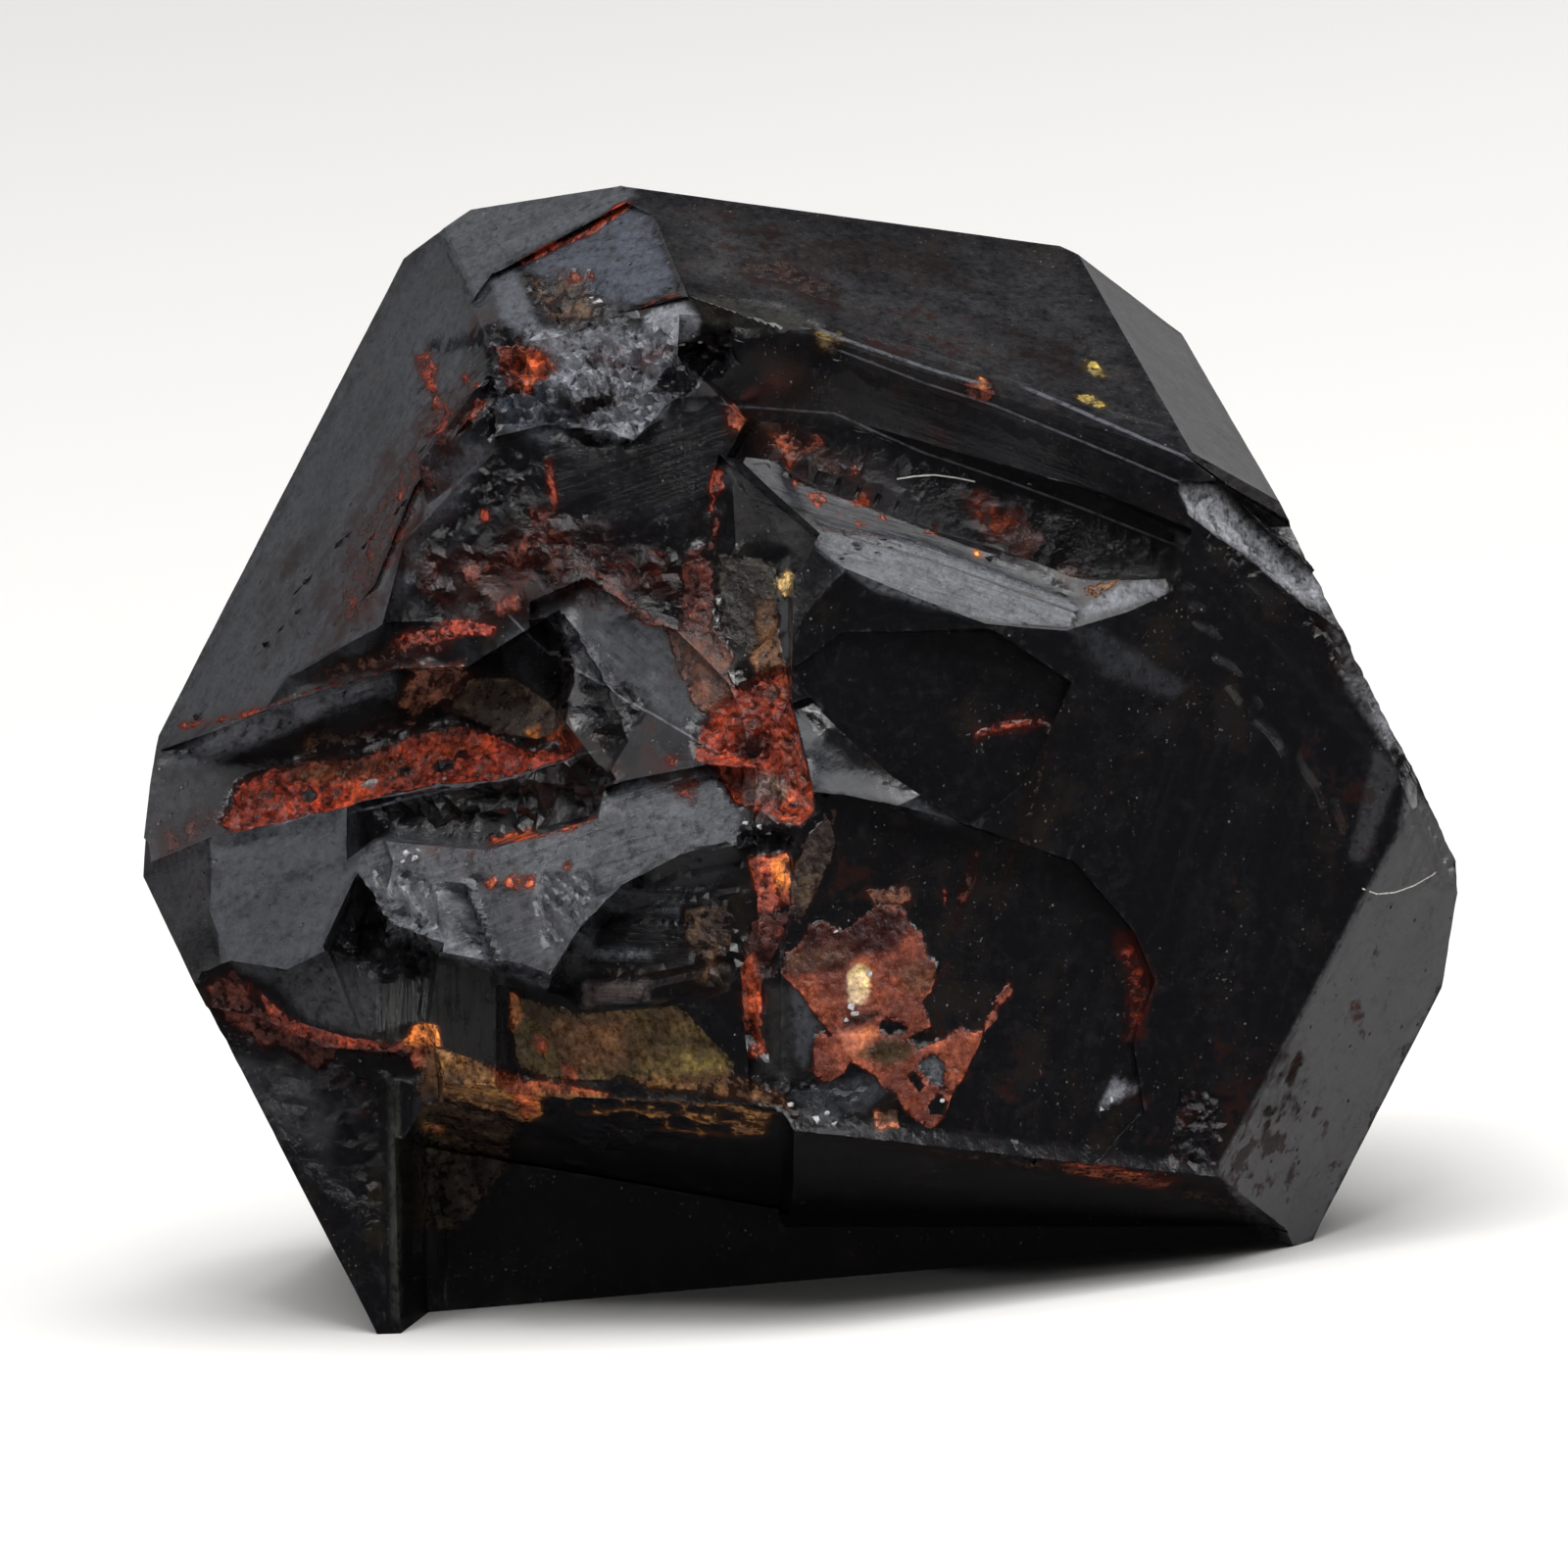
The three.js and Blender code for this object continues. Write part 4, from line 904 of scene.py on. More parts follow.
def cloud(places, size, salt):
    """Soft lumps about size across, from -1 to 1."""
    grid = places / size
    cell = np.floor(grid).astype(np.int64)
    t = grid - cell
    t = t * t * (3 - 2 * t)
    total = np.zeros(len(places))
    for corner in itertools.product((0, 1), repeat=3):
        weight = np.prod(np.where(corner, t, 1 - t), axis=1)
        total += weight * chance(cell + np.array(corner), salt)
    return total * 2 - 1


def rough_cloud(places, size, salt, octaves=4):
    """Lumps with smaller lumps on them, about -1 to 1."""
    return sum(cloud(places, size / 2**k, salt + k) / 2**k for k in range(octaves)) / 1.6


def cells_around(places, size, salt):
    """For each place: the nearest seed, how far it is, and how much nearer than the next."""
    grid = places / size
    home = np.floor(grid).astype(np.int64)
    first = np.full(len(places), FAR)
    second = np.full(len(places), FAR)
    owner = np.zeros(grid.shape, dtype=np.int64)
    away = np.zeros(grid.shape)
    for step in itertools.product((-1, 0, 1), repeat=3):
        cell = home + np.array(step)
        offset = grid - cell - np.stack([chance(cell, salt + k) for k in range(3)], axis=1)
        apart = np.sqrt((offset * offset).sum(axis=1))
        closer = apart < first
        second = np.where(closer, first, np.minimum(second, apart))
        first = np.where(closer, apart, first)
        owner[closer] = cell[closer]
        away[closer] = offset[closer]
    return owner, away, first, second - first


def chips(places, size, salt):
    """Flat broken grains about size across, each with its own height and tilt, 0 to about 1."""
    owner, away, _, gap = cells_around(places, size, salt)
    lean = np.stack([chance(owner, salt + 3 + k) - 0.5 for k in range(3)], axis=1)
    height = 0.2 + 0.8 * chance(owner, salt + 6) + 1.5 * (away * lean).sum(axis=1)
    return height * np.clip(gap / 0.22, 0.25, 1)


def knobs(places, size, salt):
    """Rounded glassy bumps of mixed height, 0 to about 1."""
    owner, _, near, gap = cells_around(places, size, salt)
    dome = np.sqrt(np.clip(1 - (near / 0.85) ** 2, 0, 1)) * np.clip(gap / 0.3, 0, 1) ** 0.5
    return dome * (0.35 + 0.65 * chance(owner, salt + 6))


def crumple(places, size, salt):
    """Wet-looking creases: sharp ridges between smooth dips, 0 to about 1."""
    folds = sum((1 - np.abs(cloud(places, size / 2**k, salt + k)) * 2.2) / 2**k for k in range(3))
    return np.clip(folds / 1.6, -0.2, 1)


def lumps(places, size, salt):
    """Soft uneven lumps, 0 to about 1."""
    return 0.5 + 0.5 * rough_cloud(places, size, salt)


def steps(places, pitch, salt, angle):
    """Saw-tooth growth steps that run at an angle in the front view, 0 to 1."""
    turn = math.radians(angle)
    across = -places[:, 0] * math.sin(turn) + places[:, 1] * math.cos(turn)
    along = places[:, 0] * math.cos(turn) + places[:, 1] * math.sin(turn)
    line = np.stack([across / pitch, along / pitch * 0.12, np.zeros(len(places))], axis=1)
    wander = cloud(line, 2.2, salt) * 0.9 + cloud(line, 0.7, salt + 1) * 0.25
    phase = line[:, 0] + wander
    row = np.floor(phase)
    tooth = phase - row
    rows = np.stack([row, row * 0, row * 0], axis=1).astype(np.int64)
    return np.minimum(tooth / 0.8, (1 - tooth) / 0.2) * (0.4 + 0.6 * chance(rows, salt + 9))


def within(flat, outline, soft):
    """1 inside an outline and 0 outside, changing over a soft border."""
    ring = np.array(outline) / 100
    low, high = ring.min(axis=0) - soft, ring.max(axis=0) + soft
    near = np.flatnonzero(((flat > low) & (flat < high)).all(axis=1))
    result = np.zeros(len(flat))
    spot = flat[near]
    gap = np.full(len(near), FAR)
    inside = np.zeros(len(near), dtype=bool)
    for start, end in zip(ring, np.roll(ring, -1, axis=0)):
        edge = end - start
        t = np.clip(((spot - start) @ edge) / (edge @ edge), 0, 1)
        gap = np.minimum(gap, np.hypot(*(spot - start - t[:, None] * edge).T))
        crosses = (start[1] > spot[:, 1]) != (end[1] > spot[:, 1])
        rise = edge[1] if abs(edge[1]) > 1e-9 else 1e-9
        inside ^= crosses & (spot[:, 0] < start[0] + edge[0] * (spot[:, 1] - start[1]) / rise)
    t = np.clip(0.5 + np.where(inside, gap, -gap) / (2 * soft), 0, 1)
    result[near] = t * t * (3 - 2 * t)
    return result


def beside_line(flat, line):
    """How far places lie off a line of points, signed by the side, and how far from it in all."""
    path = np.array(line) / 100
    gap = np.full(len(flat), FAR)
    side = np.full(len(flat), FAR)
    for start, end in zip(path[:-1], path[1:]):
        edge = end - start
        away = flat - start
        t = np.clip((away @ edge) / (edge @ edge), 0, 1)
        apart = np.hypot(*(away - t[:, None] * edge).T)
        off = (edge[0] * away[:, 1] - edge[1] * away[:, 0]) / np.hypot(*edge)
        side = np.where(apart < gap, off, side)
        gap = np.minimum(apart, gap)
    return side, gap


def outline_of(area):
    """An outline, which may be given by the name of a grey area or a stain."""
    return {**ETCH_AND_SHEEN, **STAINS}[area][3] if isinstance(area, str) else area


def values_of(items, key, width=1, kind=float):
    """A number, or a row of numbers, for each point, edge, face or corner of a mesh."""
    values = np.empty(len(items) * width, dtype=kind)
    items.foreach_get(key, values)
    return values.reshape(-1, width) if width > 1 else values


def write_values(mesh, name, values):
    """Stores a number, a way or a colour at each point of the mesh, for its material to read."""
    width = 1 if values.ndim == 1 else values.shape[1]
    kinds = {1: ("FLOAT", "value"), 3: ("FLOAT_VECTOR", "vector"), 4: ("FLOAT_COLOR", "color")}
    kind, key = kinds[width]
    mesh.attributes.new(name, kind, "POINT").data.foreach_set(key, values.ravel())


def copy_crystal():
    """A copy of the plain solid, its loose triangles joined up and its flat faces made whole."""
    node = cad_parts["crystal"]
    bpy.ops.object.select_all(action="DESELECT")
    piece = bpy.data.objects.new("crystal_surface", node.data.copy())
    bpy.context.scene.collection.objects.link(piece)
    piece.matrix_world = node.matrix_world
    piece.select_set(True)
    bpy.context.view_layer.objects.active = piece
    if piece.data.has_custom_normals:
        bpy.ops.mesh.customdata_custom_splitnormals_clear()
    bpy.ops.object.mode_set(mode="EDIT")
    bpy.ops.mesh.select_all(action="SELECT")
    bpy.ops.mesh.remove_doubles(threshold=1e-7)
    bpy.ops.mesh.dissolve_limited(angle_limit=SAME_PLANE)
    bpy.ops.mesh.quads_convert_to_tris(quad_method="BEAUTY", ngon_method="BEAUTY")
    bpy.ops.object.mode_set(mode="OBJECT")
    return piece


def sharp_edge_points(mesh):
    """Points spaced along the convex edges of the solid, where wear and painted glints show first."""
    build = bmesh.new()
    build.from_mesh(mesh)
    points = []
    for edge in build.edges:
        if edge.is_manifold and edge.calc_face_angle_signed() > WEAR_AND_GLINT_EDGE:
            start, end = (v.co for v in edge.verts)
            count = max(2, int((end - start).length / (0.04 * MM)))
            points += [start.lerp(end, k / count) for k in range(count + 1)]
    build.free()
    return points


def edge_distance(mesh, edge_points):
    """How far each point lies from a sharp edge of the solid, in millimetres."""
    tree = KDTree(len(edge_points))
    for index, point in enumerate(edge_points):
        tree.insert(point, index)
    tree.balance()
    return np.array([tree.find(v.co)[2] for v in mesh.vertices]) / MM


def ahead_share(normals):
    """How squarely each normal faces the camera, from -1 to 1."""
    return normals @ np.array(AHEAD)


def front_places(corners):
    """Millimetres right, up and ahead of the middle."""
    away = (corners - np.array(MIDDLE)) / MM
    return np.stack([away @ np.array(axis) for axis in (RIGHT, UPWARD, AHEAD)], axis=1)


def edge_wanted(flat):
    """The longest triangle edge that the front may have at each place."""
    wanted = np.full(len(flat), PLAIN_EDGE)
    areas = [(STAIN_EDGE, outline) for _, _, _, outline in STAINS.values()]
    for kind, _, size, _, _, outline in RELIEF.values():
        fine = STAIN_EDGE if kind in ("raise", "pit", "tilt") else size * GRAIN_SHARE
        areas.append((min(max(fine, FINE_EDGE), PLAIN_EDGE), outline))
    for length, outline in areas:
        inside = within(flat, outline_of(outline), 0.03) > 0
        wanted[inside] = np.minimum(wanted[inside], length)
    borders = [line for _, _, _, line in SCRATCHES_AND_GLINTS.values()]
    borders += [ring + ring[:1] for _, _, soft, ring in ETCH_AND_SHEEN.values() if soft < CRISP_BORDER]
    for line in borders:
        path = np.array(line) / 100
        low, high = path.min(axis=0) - 0.1, path.max(axis=0) + 0.1
        close = np.flatnonzero(((flat > low) & (flat < high)).all(axis=1))
        close = close[beside_line(flat[close], line)[1] < 0.07]
        wanted[close] = np.minimum(wanted[close], STAIN_EDGE)
    return wanted


def too_long(mesh):
    """Which edges of the mesh are too long for what it has to show at their place."""
    corners = values_of(mesh.vertices, "co", 3)
    ends = values_of(mesh.edges, "vertices", 2, np.int32)
    first, last = corners[ends[:, 0]], corners[ends[:, 1]]
    length = np.linalg.norm(first - last, axis=1) / MM
    seen = ahead_share(values_of(mesh.polygons, "normal", 3)) > FACING_AHEAD
    starts = values_of(mesh.polygons, "loop_start", 1, np.int32)[seen]
    edge_at = values_of(mesh.loops, "edge_index", 1, np.int32)
    front = np.zeros(len(length), dtype=bool)
    for k in range(3):
        front[edge_at[starts + k]] = True
    wanted = np.where(front, PLAIN_EDGE, BACK_EDGE)
    unsure = front & (length > FINE_EDGE * TOO_LONG) & (length < PLAIN_EDGE * TOO_LONG)
    halfway = front_places((first + last) / 2)[:, :2]
    wanted[unsure] = edge_wanted(halfway[unsure])
    return length > wanted * TOO_LONG


def divide(piece):
    """Splits the long edges until the mesh is fine enough to carry the relief."""
    mesh = piece.data
    bpy.ops.object.mode_set(mode="EDIT")
    bpy.ops.mesh.select_mode(type="EDGE")
    for _ in range(9):
        bpy.ops.mesh.select_all(action="DESELECT")
        bpy.ops.object.mode_set(mode="OBJECT")
        long = too_long(mesh)
        if not long.any():
            break
        mesh.edges.foreach_set("select", long)
        bpy.ops.object.mode_set(mode="EDIT")
        bpy.ops.mesh.subdivide(number_cuts=1)
        bpy.ops.mesh.select_all(action="SELECT")
        bpy.ops.mesh.quads_convert_to_tris(quad_method="BEAUTY", ngon_method="BEAUTY")
        bpy.ops.mesh.beautify_fill(angle_limit=math.radians(0.5))
        bpy.ops.mesh.select_mode(type="EDGE")
    if bpy.context.object.mode == "EDIT":
        bpy.ops.object.mode_set(mode="OBJECT")


def relief_depth(kind, deep, places, size, angle, spared):
    """How deep one area of relief lies at each place of it, in millimetres."""
    if kind == "raise":
        return np.full(len(places), -deep)
    if kind == "tilt":
        turn = math.radians(angle)
        along = places[:, 0] * math.cos(turn) + places[:, 1] * math.sin(turn)
        return deep * (along - along.min()) / (np.ptp(along) + 1e-6)
    if kind == "pit":
        return deep * spared
    salt = 40 + int(deep * 1000 + size * 100)
    if kind == "steps":
        return deep * (1 - steps(places, size, salt, angle)) * spared
    grain = {"chips": chips, "knobs": knobs, "crumple": crumple, "lumps": lumps}[kind]
    return deep * (1 - grain(places, size, salt)) * spared


def break_surface(mesh, off_edge):
    """Cuts the relief of the broken front into the divided mesh."""
    corners = values_of(mesh.vertices, "co", 3)
    normals = values_of(mesh.vertices, "normal", 3)
    places = front_places(corners)
    seen = np.clip((ahead_share(normals) + 0.1) / 0.2, 0, 1)
    # Every face is a little uneven, less so at the edges of the front, which stay straight
    depth = 0.006 + 0.006 * rough_cloud(places, 0.5, 1)
    depth += 0.003 * (1 + rough_cloud(places, 0.12, 20, 2))
    depth *= 1 - 0.7 * (1 - off_edge) * seen
    broken = np.zeros(len(places))
    for kind, deep, size, angle, soft, outline in RELIEF.values():
        mask = within(places[:, :2], outline_of(outline), soft) * seen
        on = np.flatnonzero(mask > 0)
        fresh = kind in BROKEN
        spared = 0.35 + 0.65 * off_edge[on] if fresh else 0.1 + 0.9 * off_edge[on]
        depth[on] += mask[on] * relief_depth(kind, deep, places[on], size, angle, spared)
        if fresh:
            broken[on] = np.maximum(broken[on], mask[on] * min(1, deep / 0.05))
    # The relief fades out towards the flat that the crystal rests on
    depth *= np.clip((corners[:, 2] / MM - 0.01) / 0.12, 0, 1)
    corners -= normals * (depth * MM)[:, None]
    mesh.vertices.foreach_set("co", corners.ravel())
    mesh.update()
    write_values(mesh, "broken", broken)
    return places, seen


def paint(mesh, places, seen, areas, name, behind, behind_tint):
    """Writes the tint of the areas, and how strongly it covers, to the points of the mesh."""
    cover = np.clip(behind * (1 + 0.8 * rough_cloud(places, 1.1, 60)), 0, 1) * (1 - seen)
    tint = np.ones((len(places), 4))
    tint[:, :3] = behind_tint
    for colour, strength, soft, outline in areas.values():
        mask = within(places[:, :2], outline, soft) * seen
        new = (mask * strength)[:, None]
        old = (cover * (1 - new[:, 0]) + 1e-6)[:, None]
        tint[:, :3] = (tint[:, :3] * old + new * np.array(colour)) / (old + new)
        cover = np.maximum(cover, new[:, 0]) if strength else cover * (1 - mask)
    write_values(mesh, name + "_tint", tint)
    write_values(mesh, name, cover)


def draw_growth(mesh, flat, seen):
    """Writes where fine growth lines run, and which way."""
    growth = np.zeros(len(flat))
    other = np.zeros(len(flat))
    run = np.zeros((len(flat), 3))
    areas = [(*line, seen) for line in LINES.values()]
    areas.append((BACK_LINES, 0.14, 0.5, 0.1, EVERYWHERE, 1 - seen))
    for angle, pitch, strength, soft, outline, shown in areas:
        mask = within(flat, outline_of(outline), soft) * shown * strength
        turn = math.radians(angle)
        across = (flat[:, 1] * math.cos(turn) - flat[:, 0] * math.sin(turn)) / pitch
        along = (flat[:, 0] * math.cos(turn) + flat[:, 1] * math.sin(turn)) / pitch / 22
        over = mask > growth
        run[over] = np.stack([across, along, along * 0], axis=1)[over]
        other = np.maximum(other, np.minimum(growth, mask))
        growth = np.maximum(growth, mask)
    # Where two ways meet, the lines fade out
    write_values(mesh, "growth", growth - other)
    write_values(mesh, "growth_way", run)


def draw_scratches_and_glints(mesh, flat, seen):
    """Writes how far each point lies off the nearest thin line, how strong it is and how pale."""
    nearest = np.full(len(flat), FAR)
    off = np.full(len(flat), FAR)
    strong = np.zeros(len(flat))
    light = np.zeros(len(flat))
    for pale, half, strength, line in SCRATCHES_AND_GLINTS.values():
        side, gap = beside_line(flat, line)
        closer = gap < nearest
        off[closer] = side[closer] / half
        strong[closer] = (np.clip(1.4 - gap / 0.12, 0, 1) * seen * strength)[closer]
        light[closer] = pale
        nearest = np.minimum(nearest, gap)
    write_values(mesh, "scratch_and_glint_off", off)
    write_values(mesh, "scratch_and_glint", strong)
    write_values(mesh, "scratch_and_glint_pale", light)


def join(tree, start, end):
    tree.links.new(start, end)


def set_inputs(tree, sockets, values):
    """Gives each socket a number, a colour or the output of another node."""
    for socket, value in zip(sockets, values):
        if isinstance(value, (int, float)):
            socket.default_value = value
        elif isinstance(value, tuple):
            socket.default_value = (*value, 1)
        elif value is not None:
            join(tree, value, socket)


def value_step(tree, operation, *values):
    node = tree.nodes.new("ShaderNodeMath")
    node.operation = operation
    set_inputs(tree, node.inputs, values)
    return node.outputs[0]


def times(tree, first, second):
    return value_step(tree, "MULTIPLY", first, second)


def times_plus(tree, first, second, third):
    return value_step(tree, "MULTIPLY_ADD", first, second, third)


def larger(tree, first, second):
    return value_step(tree, "MAXIMUM", first, second)


def sway(tree, noise, amount, value):
    """The value, pushed up and down by a noise."""
    return times_plus(tree, value_step(tree, "SUBTRACT", noise, 0.5), amount, value)


def spread(tree, value, low, high, to_low, to_high, smooth=False):
    node = tree.nodes.new("ShaderNodeMapRange")
    node.interpolation_type = "SMOOTHSTEP" if smooth else "LINEAR"
    names = ("Value", "From Min", "From Max", "To Min", "To Max")
    set_inputs(tree, [node.inputs[name] for name in names], (value, low, high, to_low, to_high))
    return node.outputs["Result"]


def blend_colour(tree, amount, first, second, how="MIX"):
    node = tree.nodes.new("ShaderNodeMix")
    node.data_type = "RGBA"
    node.blend_type = how
    # A colour mix has its amount and its two colours at these inputs, and its result at output 2
    set_inputs(tree, [node.inputs[k] for k in (0, 6, 7)], (amount, first, second))
    return node.outputs[2]


def noise_node(tree, place, scale, detail, rough):
    node = tree.nodes.new("ShaderNodeTexNoise")
    names = ("Vector", "Scale", "Detail", "Roughness")
    set_inputs(tree, [node.inputs[name] for name in names], (place, scale, detail, rough))
    return node


def grain_noise(tree, place, size, detail, rough=0.6):
    """A noise with lumps about size across, in millimetres."""
    return noise_node(tree, place, 1 / (size * MM), detail, rough).outputs["Fac"]


def cell_node(tree, place, size):
    """Cells about size across, in millimetres."""
    node = tree.nodes.new("ShaderNodeTexVoronoi")
    node.inputs["Scale"].default_value = 1 / (size * MM)
    join(tree, place, node.inputs["Vector"])
    return node


def read_attribute(tree, name, output="Fac"):
    node = tree.nodes.new("ShaderNodeAttribute")
    node.attribute_name = name
    return node.outputs[output]


def start_material(name):
    """A new material, its nodes, its shader and the place on the piece."""
    material = bpy.data.materials.new(name)
    material.use_nodes = True
    tree = material.node_tree
    place = tree.nodes.new("ShaderNodeTexCoord").outputs["Object"]
    return material, tree, tree.nodes["Principled BSDF"], place


def garnet_noises(tree, place):
    """The noises and masks that the layers of the garnet's finish share, by name."""
    noise = {
        "patches": grain_noise(tree, place, 0.22, 7, 0.68),
        "crumbs": grain_noise(tree, place, 0.07, 5, 0.65),
        "mottle": grain_noise(tree, place, 0.5, 6, 0.68),
        "fine": grain_noise(tree, place, 0.03, 3, 0.6),
        "wide": grain_noise(tree, place, 2.2, 3, 0.5),
    }
    # Growth lines follow the way written on each face
    lines = noise_node(tree, read_attribute(tree, "growth_way", "Vector"), 1, 4, 0.7)
    ribs = spread(tree, lines.outputs["Fac"], 0.36, 0.64, -1, 1)
    noise["ribs"] = times(tree, ribs, read_attribute(tree, "growth"))
    # Scattered points, for dust and for pits
    dust = cell_node(tree, place, 0.085)
    lucky = tree.nodes.new("ShaderNodeSeparateColor")
    join(tree, dust.outputs["Color"], lucky.inputs["Color"])
    noise["dust"] = dust.outputs["Distance"]
    noise["dust_chance"] = lucky.outputs["Red"]
    few = spread(tree, lucky.outputs["Green"], 0.7, 0.9, 4, 1)
    noise["pit"] = times(tree, dust.outputs["Distance"], few)
    return noise


def bare_garnet(tree, noise):
    """Black garnet, browner or sootier in patches and streaks, with a dust of pale specks."""
    brown = spread(tree, noise["mottle"], 0.5, 0.66, 0, 1, True)
    bare = blend_colour(tree, brown, BLACK, BROWN_BLACK)
    sooty = times_plus(tree, noise["crumbs"], 0.7, times(tree, noise["patches"], 0.5))
    bare = blend_colour(tree, spread(tree, sooty, 0.58, 0.78, 0, 1, True), bare, SOOT)
    bare = blend_colour(tree, spread(tree, noise["ribs"], 0.0, 0.7, 0, 0.9), bare, SOOT)
    speck = spread(tree, noise["dust"], 0.07, 0.14, 1, 0)
    speck = times(tree, speck, spread(tree, noise["dust_chance"], 0.6, 0.95, 0, 0.8))
    speck = larger(tree, speck, spread(tree, noise["fine"], 0.655, 0.73, 0, 0.45))
    speck = times(tree, speck, spread(tree, noise["mottle"], 0.46, 0.58, 0.15, 1))
    return blend_colour(tree, speck, bare, DUST)


def etched_grey_and_sheen(tree, noise, bare):
    """Etched grey faces, their grey partly a painted sheen, uneven, ribbed and finely pitted, and how
    strongly they cover.
    """
    etch_and_sheen = read_attribute(tree, "etch_and_sheen")
    uneven = 1.0
    for name, amount in (("patches", 1.8), ("crumbs", 1.5), ("mottle", 1.6), ("wide", 1.6)):
        uneven = sway(tree, noise[name], amount, uneven)
    uneven = times_plus(tree, noise["ribs"], 0.4, uneven)
    # The most strongly covered faces are smooth and even
    lively = spread(tree, etch_and_sheen, 0.93, 0.97, 1, 0.25)
    uneven = times_plus(tree, value_step(tree, "SUBTRACT", uneven, 1.0), lively, 1.0)
    grey = spread(tree, times(tree, uneven, etch_and_sheen), 0, 1, 0, 1)
    shade = spread(tree, noise["crumbs"], 0.36, 0.5, 0.75, 0)
    shade = larger(tree, shade, spread(tree, noise["fine"], 0.4, 0.6, 0.4, 0))
    shade = larger(tree, shade, spread(tree, noise["ribs"], -0.9, -0.2, 0.75, 0))
    tint = read_attribute(tree, "etch_and_sheen_tint", "Color")
    tint = blend_colour(tree, times(tree, shade, lively), tint, DARK_GREY)
    tint = blend_colour(tree, spread(tree, noise["pit"], 0.12, 0.22, 0.85, 0), tint, BLACK)
    return blend_colour(tree, grey, bare, tint), grey


def crack_cells(tree, place):
    """How far each place is from the wavy cracks in a crust."""
    shifted = tree.nodes.new("ShaderNodeVectorMath")
    shifted.operation = "MULTIPLY_ADD"
    shifted.inputs[1].default_value = (0.12 * MM,) * 3
    swirl = noise_node(tree, place, 1 / (0.12 * MM), 3, 0.5)
    join(tree, swirl.outputs["Color"], shifted.inputs[0])
    join(tree, place, shifted.inputs[2])
    crack = cell_node(tree, shifted.outputs[0], 0.19)
    crack.feature = "DISTANCE_TO_EDGE"
    return crack.outputs["Distance"]


def stained(tree, place, noise, colour):
    """A thin dark glow, then ragged crusts and veins, and how strongly the crusts cover."""
    patches, crumbs = noise["patches"], noise["crumbs"]
    stain = read_attribute(tree, "stain")
    crack = crack_cells(tree, place)
    ragged = sway(tree, patches, 1.9, stain)
    glow = spread(tree, ragged, 0.12, 0.6, 0, 0.85, True)
    glow = times(tree, glow, spread(tree, stain, 0.02, 0.25, 0, 1))
    ragged = sway(tree, crumbs, 1.7, ragged)
    ragged = times_plus(tree, spread(tree, crack, 0.0, 0.14, 1, 0), 0.28, ragged)
    # Where a stain covers almost wholly, it is one unbroken film
    whole = spread(tree, stain, 0.93, 0.99, 0, 1)
    ragged = times_plus(tree, whole, 0.45, ragged)
    rust = spread(tree, ragged, 0.6, 0.72, 0, 1, True)
    rust = times(tree, rust, spread(tree, stain, 0.45, 0.62, 0, 1))
    tone = spread(tree, crumbs, 0.36, 0.64, 0.3, 1.9)
    tone = times(tree, tone, spread(tree, patches, 0.36, 0.64, 0.5, 1.6))
    tone = times(tree, tone, spread(tree, noise["fine"], 0.36, 0.64, 0.6, 1.3))
    tone = blend_colour(tree, times(tree, whole, 0.6), tone, (1.0, 1.0, 1.0))
    tint = read_attribute(tree, "stain_tint", "Color")
    glow_tint = blend_colour(tree, 1.0, tint, (0.27, 0.24, 0.24), "MULTIPLY")
    ochre = spread(tree, patches, 0.48, 0.66, 0, 1)
    tint = blend_colour(tree, ochre, tint, (1.7, 1.8, 1.2), "MULTIPLY")
    tint = blend_colour(tree, 1.0, tint, tone, "MULTIPLY")
    holes = spread(tree, crack, 0.0, 0.05, 0.5, 0)
    holes = value_step(tree, "ADD", holes, spread(tree, crumbs, 0.34, 0.42, 0.8, 0))
    holes = times(tree, value_step(tree, "MINIMUM", holes, 0.9), spread(tree, whole, 0, 1, 1, 0.35))
    tint = blend_colour(tree, holes, tint, DEEP_RED)
    freckle = spread(tree, times(tree, patches, noise["wide"]), 0.345, 0.39, 0, 0.7, True)
    colour = blend_colour(tree, freckle, colour, DEEP_RED)
    colour = blend_colour(tree, glow, colour, glow_tint)
    return blend_colour(tree, rust, colour, tint), rust


def scuffs_and_edge_glints(tree, noise, colour):
    """Paler scuffs on the sharp edges, in places, with painted glints where edges catch the light."""
    wear_and_glint = spread(tree, noise["crumbs"], 0.46, 0.62, 0, 1)
    wear_and_glint = times(tree, read_attribute(tree, "edge_wear_and_glint"), wear_and_glint)
    return blend_colour(tree, spread(tree, wear_and_glint, 0.3, 0.8, 0, 0.15, True), colour, SCUFF_AND_GLINT)


def thin_lines(tree, noise, colour):
    """Single thin lines, pale or dark, with breaks in them; the pale ones are mostly painted glints."""
    off = value_step(tree, "ABSOLUTE", read_attribute(tree, "scratch_and_glint_off"))
    thin = spread(tree, off, 0.6, 1.3, 1, 0, True)
    thin = times(tree, thin, read_attribute(tree, "scratch_and_glint"))
    thin = times(tree, thin, spread(tree, noise["crumbs"], 0.38, 0.52, 0.35, 1))
    tint = blend_colour(tree, read_attribute(tree, "scratch_and_glint_pale"), BLACK, STEEL_PALE)
    return blend_colour(tree, thin, colour, tint)


def garnet_gloss(tree, noise, broken, grey, rust):
    """The roughness: glassy where bare or freshly broken, duller on grey faces and crusts."""
    dull = spread(tree, noise["patches"], 0.35, 0.7, 0.12, 0.28)
    dull = times_plus(tree, broken, -0.1, dull)
    dull = times_plus(tree, grey, 0.16, dull)
    return larger(tree, dull, times(tree, rust, spread(tree, noise["crumbs"], 0.4, 0.6, 0.2, 0.46)))


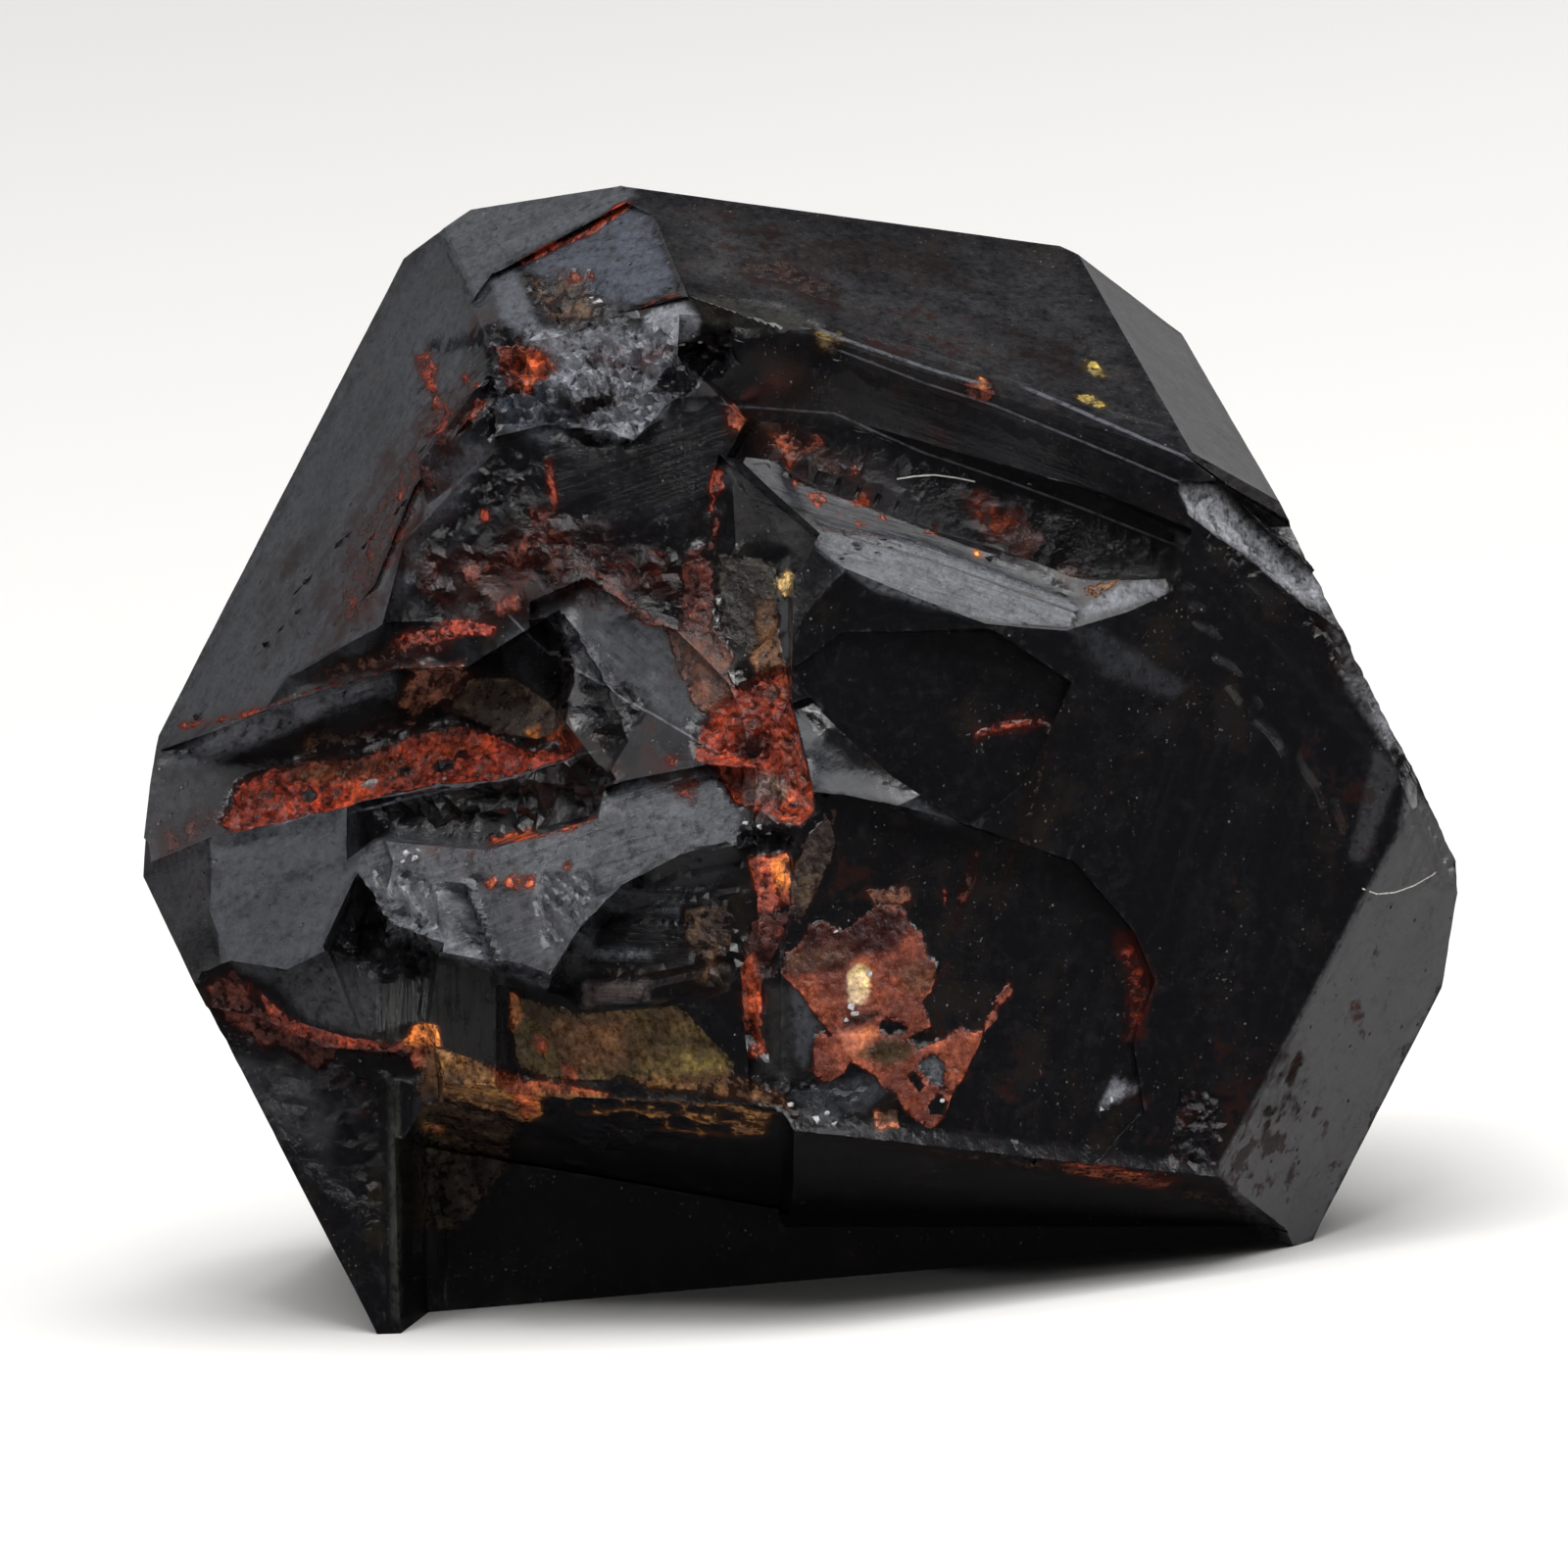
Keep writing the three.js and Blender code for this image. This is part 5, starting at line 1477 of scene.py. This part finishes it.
def tiny_relief(tree, place, noise, broken, grey, rust):
    """Tiny pits, ribs and tilted crystal grains, as a normal."""
    grains = cell_node(tree, place, 0.06).outputs["Distance"]
    rough = larger(tree, broken, rust)
    height = times(tree, noise["fine"], spread(tree, rough, 0, 1, 0.1, 0.9))
    height = times_plus(tree, grains, times(tree, rough, 1.2), height)
    height = times_plus(tree, noise["crumbs"], spread(tree, rough, 0, 1, 0.5, 3.0), height)
    height = times_plus(tree, noise["ribs"], 0.35, height)
    pits = spread(tree, noise["pit"], 0.1, 0.25, -1, 0)
    height = times_plus(tree, pits, times(tree, grey, 0.8), height)
    bump = tree.nodes.new("ShaderNodeBump")
    bump.inputs["Strength"].default_value = 0.6
    bump.inputs["Distance"].default_value = 0.012 * MM
    join(tree, height, bump.inputs["Height"])
    return bump.outputs["Normal"]


def garnet_surface():
    """Black glassy garnet, greyed where it is etched and with a painted sheen, and stained red and amber in
    its cracks.
    """
    material, tree, shader, place = start_material("melanite_garnet")
    shader.inputs["IOR"].default_value = REFRACTION
    noise = garnet_noises(tree, place)
    broken = read_attribute(tree, "broken")
    colour, grey = etched_grey_and_sheen(tree, noise, bare_garnet(tree, noise))
    colour, rust = stained(tree, place, noise, colour)
    colour = thin_lines(tree, noise, scuffs_and_edge_glints(tree, noise, colour))
    join(tree, colour, shader.inputs["Base Color"])
    join(tree, garnet_gloss(tree, noise, broken, grey, rust), shader.inputs["Roughness"])
    normal = tiny_relief(tree, place, noise, broken, grey, rust)
    join(tree, normal, shader.inputs["Normal"])
    return material


def pale_finish(name, colour, darker):
    """A simple mineral or fibre finish, cloudy at a fine scale."""
    material, tree, shader, place = start_material(name)
    cloudy = grain_noise(tree, place, 0.03, 3)
    tint = blend_colour(tree, spread(tree, cloudy, 0.35, 0.65, 0, 1), darker, colour)
    join(tree, tint, shader.inputs["Base Color"])
    join(tree, spread(tree, cloudy, 0.3, 0.7, 0.15, 0.5), shader.inputs["Roughness"])
    return material


def make_crystal():
    piece = copy_crystal()
    mesh = piece.data
    edge_points = sharp_edge_points(mesh)
    divide(piece)
    near_edge = edge_distance(mesh, edge_points)
    places, seen = break_surface(mesh, np.clip(near_edge / 0.1, 0, 1))
    # The grey of the etched faces, partly a painted sheen that stands in for the light they mirror
    paint(mesh, places, seen, ETCH_AND_SHEEN, "etch_and_sheen", 0.5, CHARCOAL)
    paint(mesh, places, seen, STAINS, "stain", 0.2, RUST_DARK)
    draw_growth(mesh, places[:, :2], seen)
    # Thin lines: scratches, and pale painted glints along ridges and lips
    draw_scratches_and_glints(mesh, places[:, :2], seen)
    # Paler edges: wear, and painted glints where edges catch the light
    write_values(mesh, "edge_wear_and_glint", np.clip(1 - near_edge / 0.06, 0, 1))
    bpy.ops.object.shade_smooth_by_angle(angle=SMOOTH_BELOW)
    mesh.materials.clear()
    mesh.materials.append(garnet_surface())
    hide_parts("crystal")
    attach(piece, "root")
    return piece


def on_surface(piece, right, up):
    """The point of the crystal's front that shows at a place, and which way it faces."""
    start = MIDDLE + (RIGHT * right + UPWARD * up) * MM / 100 + AHEAD * 7 * MM
    hit, spot, normal, _ = piece.ray_cast(start, -AHEAD)
    return (spot, normal) if hit else (start - AHEAD * 5 * MM, AHEAD)


def join_up(made, name, material):
    """Makes one piece of the bits, with its place in its mesh."""
    bpy.ops.object.select_all(action="DESELECT")
    for bit in made:
        bit.select_set(True)
    bpy.context.view_layer.objects.active = made[0]
    bpy.ops.object.join()
    bpy.ops.object.transform_apply(location=True, rotation=True, scale=True)
    joined = bpy.context.object
    joined.name = name
    joined.data.materials.clear()
    joined.data.materials.append(material)
    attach(joined, "root")


def stick_grains_and_glints(piece):
    """Splinters of pale crystal half sunk in the front, a few of them standing in for glints of light."""
    made = []
    for index, (right, up, size) in enumerate(GRAINS_AND_GLINTS):
        spot, _ = on_surface(piece, right, up)
        bpy.ops.object.select_all(action="DESELECT")
        bpy.ops.mesh.primitive_ico_sphere_add(subdivisions=1, radius=size * MM, location=spot)
        bpy.ops.object.mode_set(mode="EDIT")
        bpy.ops.mesh.select_all(action="SELECT")
        jitter = size * 0.8 * MM
        bpy.ops.transform.vertex_random(offset=jitter, uniform=0.9, normal=0.1, seed=index + 1)
        bpy.ops.mesh.convex_hull()
        bpy.ops.transform.resize(value=(1, 0.6, 0.8))
        bpy.ops.mesh.normals_make_consistent(inside=False)
        bpy.ops.object.mode_set(mode="OBJECT")
        made.append(bpy.context.object)
    join_up(made, "pale_grains_and_glints", pale_finish("pale_crystal_and_glints", (0.62, 0.6, 0.62), (0.25, 0.23, 0.23)))


def lay_threads(piece):
    """Fine fibres that cling to the front."""
    made = []
    for points in THREADS:
        spots = [on_surface(piece, *point)[0] + AHEAD * 0.015 * MM for point in points]
        bpy.ops.object.select_all(action="DESELECT")
        first = (spots[1] - spots[0]).to_track_quat("Z", "Y").to_euler()
        bpy.ops.mesh.primitive_circle_add(
            vertices=6, radius=0.006 * MM, fill_type="NGON", location=spots[0], rotation=first
        )
        bpy.ops.object.mode_set(mode="EDIT")
        bpy.ops.mesh.select_all(action="SELECT")
        for start, end in zip(spots[:-1], spots[1:]):
            bpy.ops.mesh.extrude_region_move(TRANSFORM_OT_translate={"value": end - start})
        bpy.ops.mesh.select_all(action="SELECT")
        bpy.ops.mesh.normals_make_consistent(inside=False)
        bpy.ops.object.mode_set(mode="OBJECT")
        made.append(bpy.context.object)
    join_up(made, "threads", pale_finish("pale_fibre", (0.7, 0.68, 0.64), (0.4, 0.38, 0.35)))


bpy.context.scene.view_settings.view_transform = "Standard"
aim_camera()
lay_floor()
room_light()
hang_lights()
crystal_surface = make_crystal()
stick_grains_and_glints(crystal_surface)
lay_threads(crystal_surface)
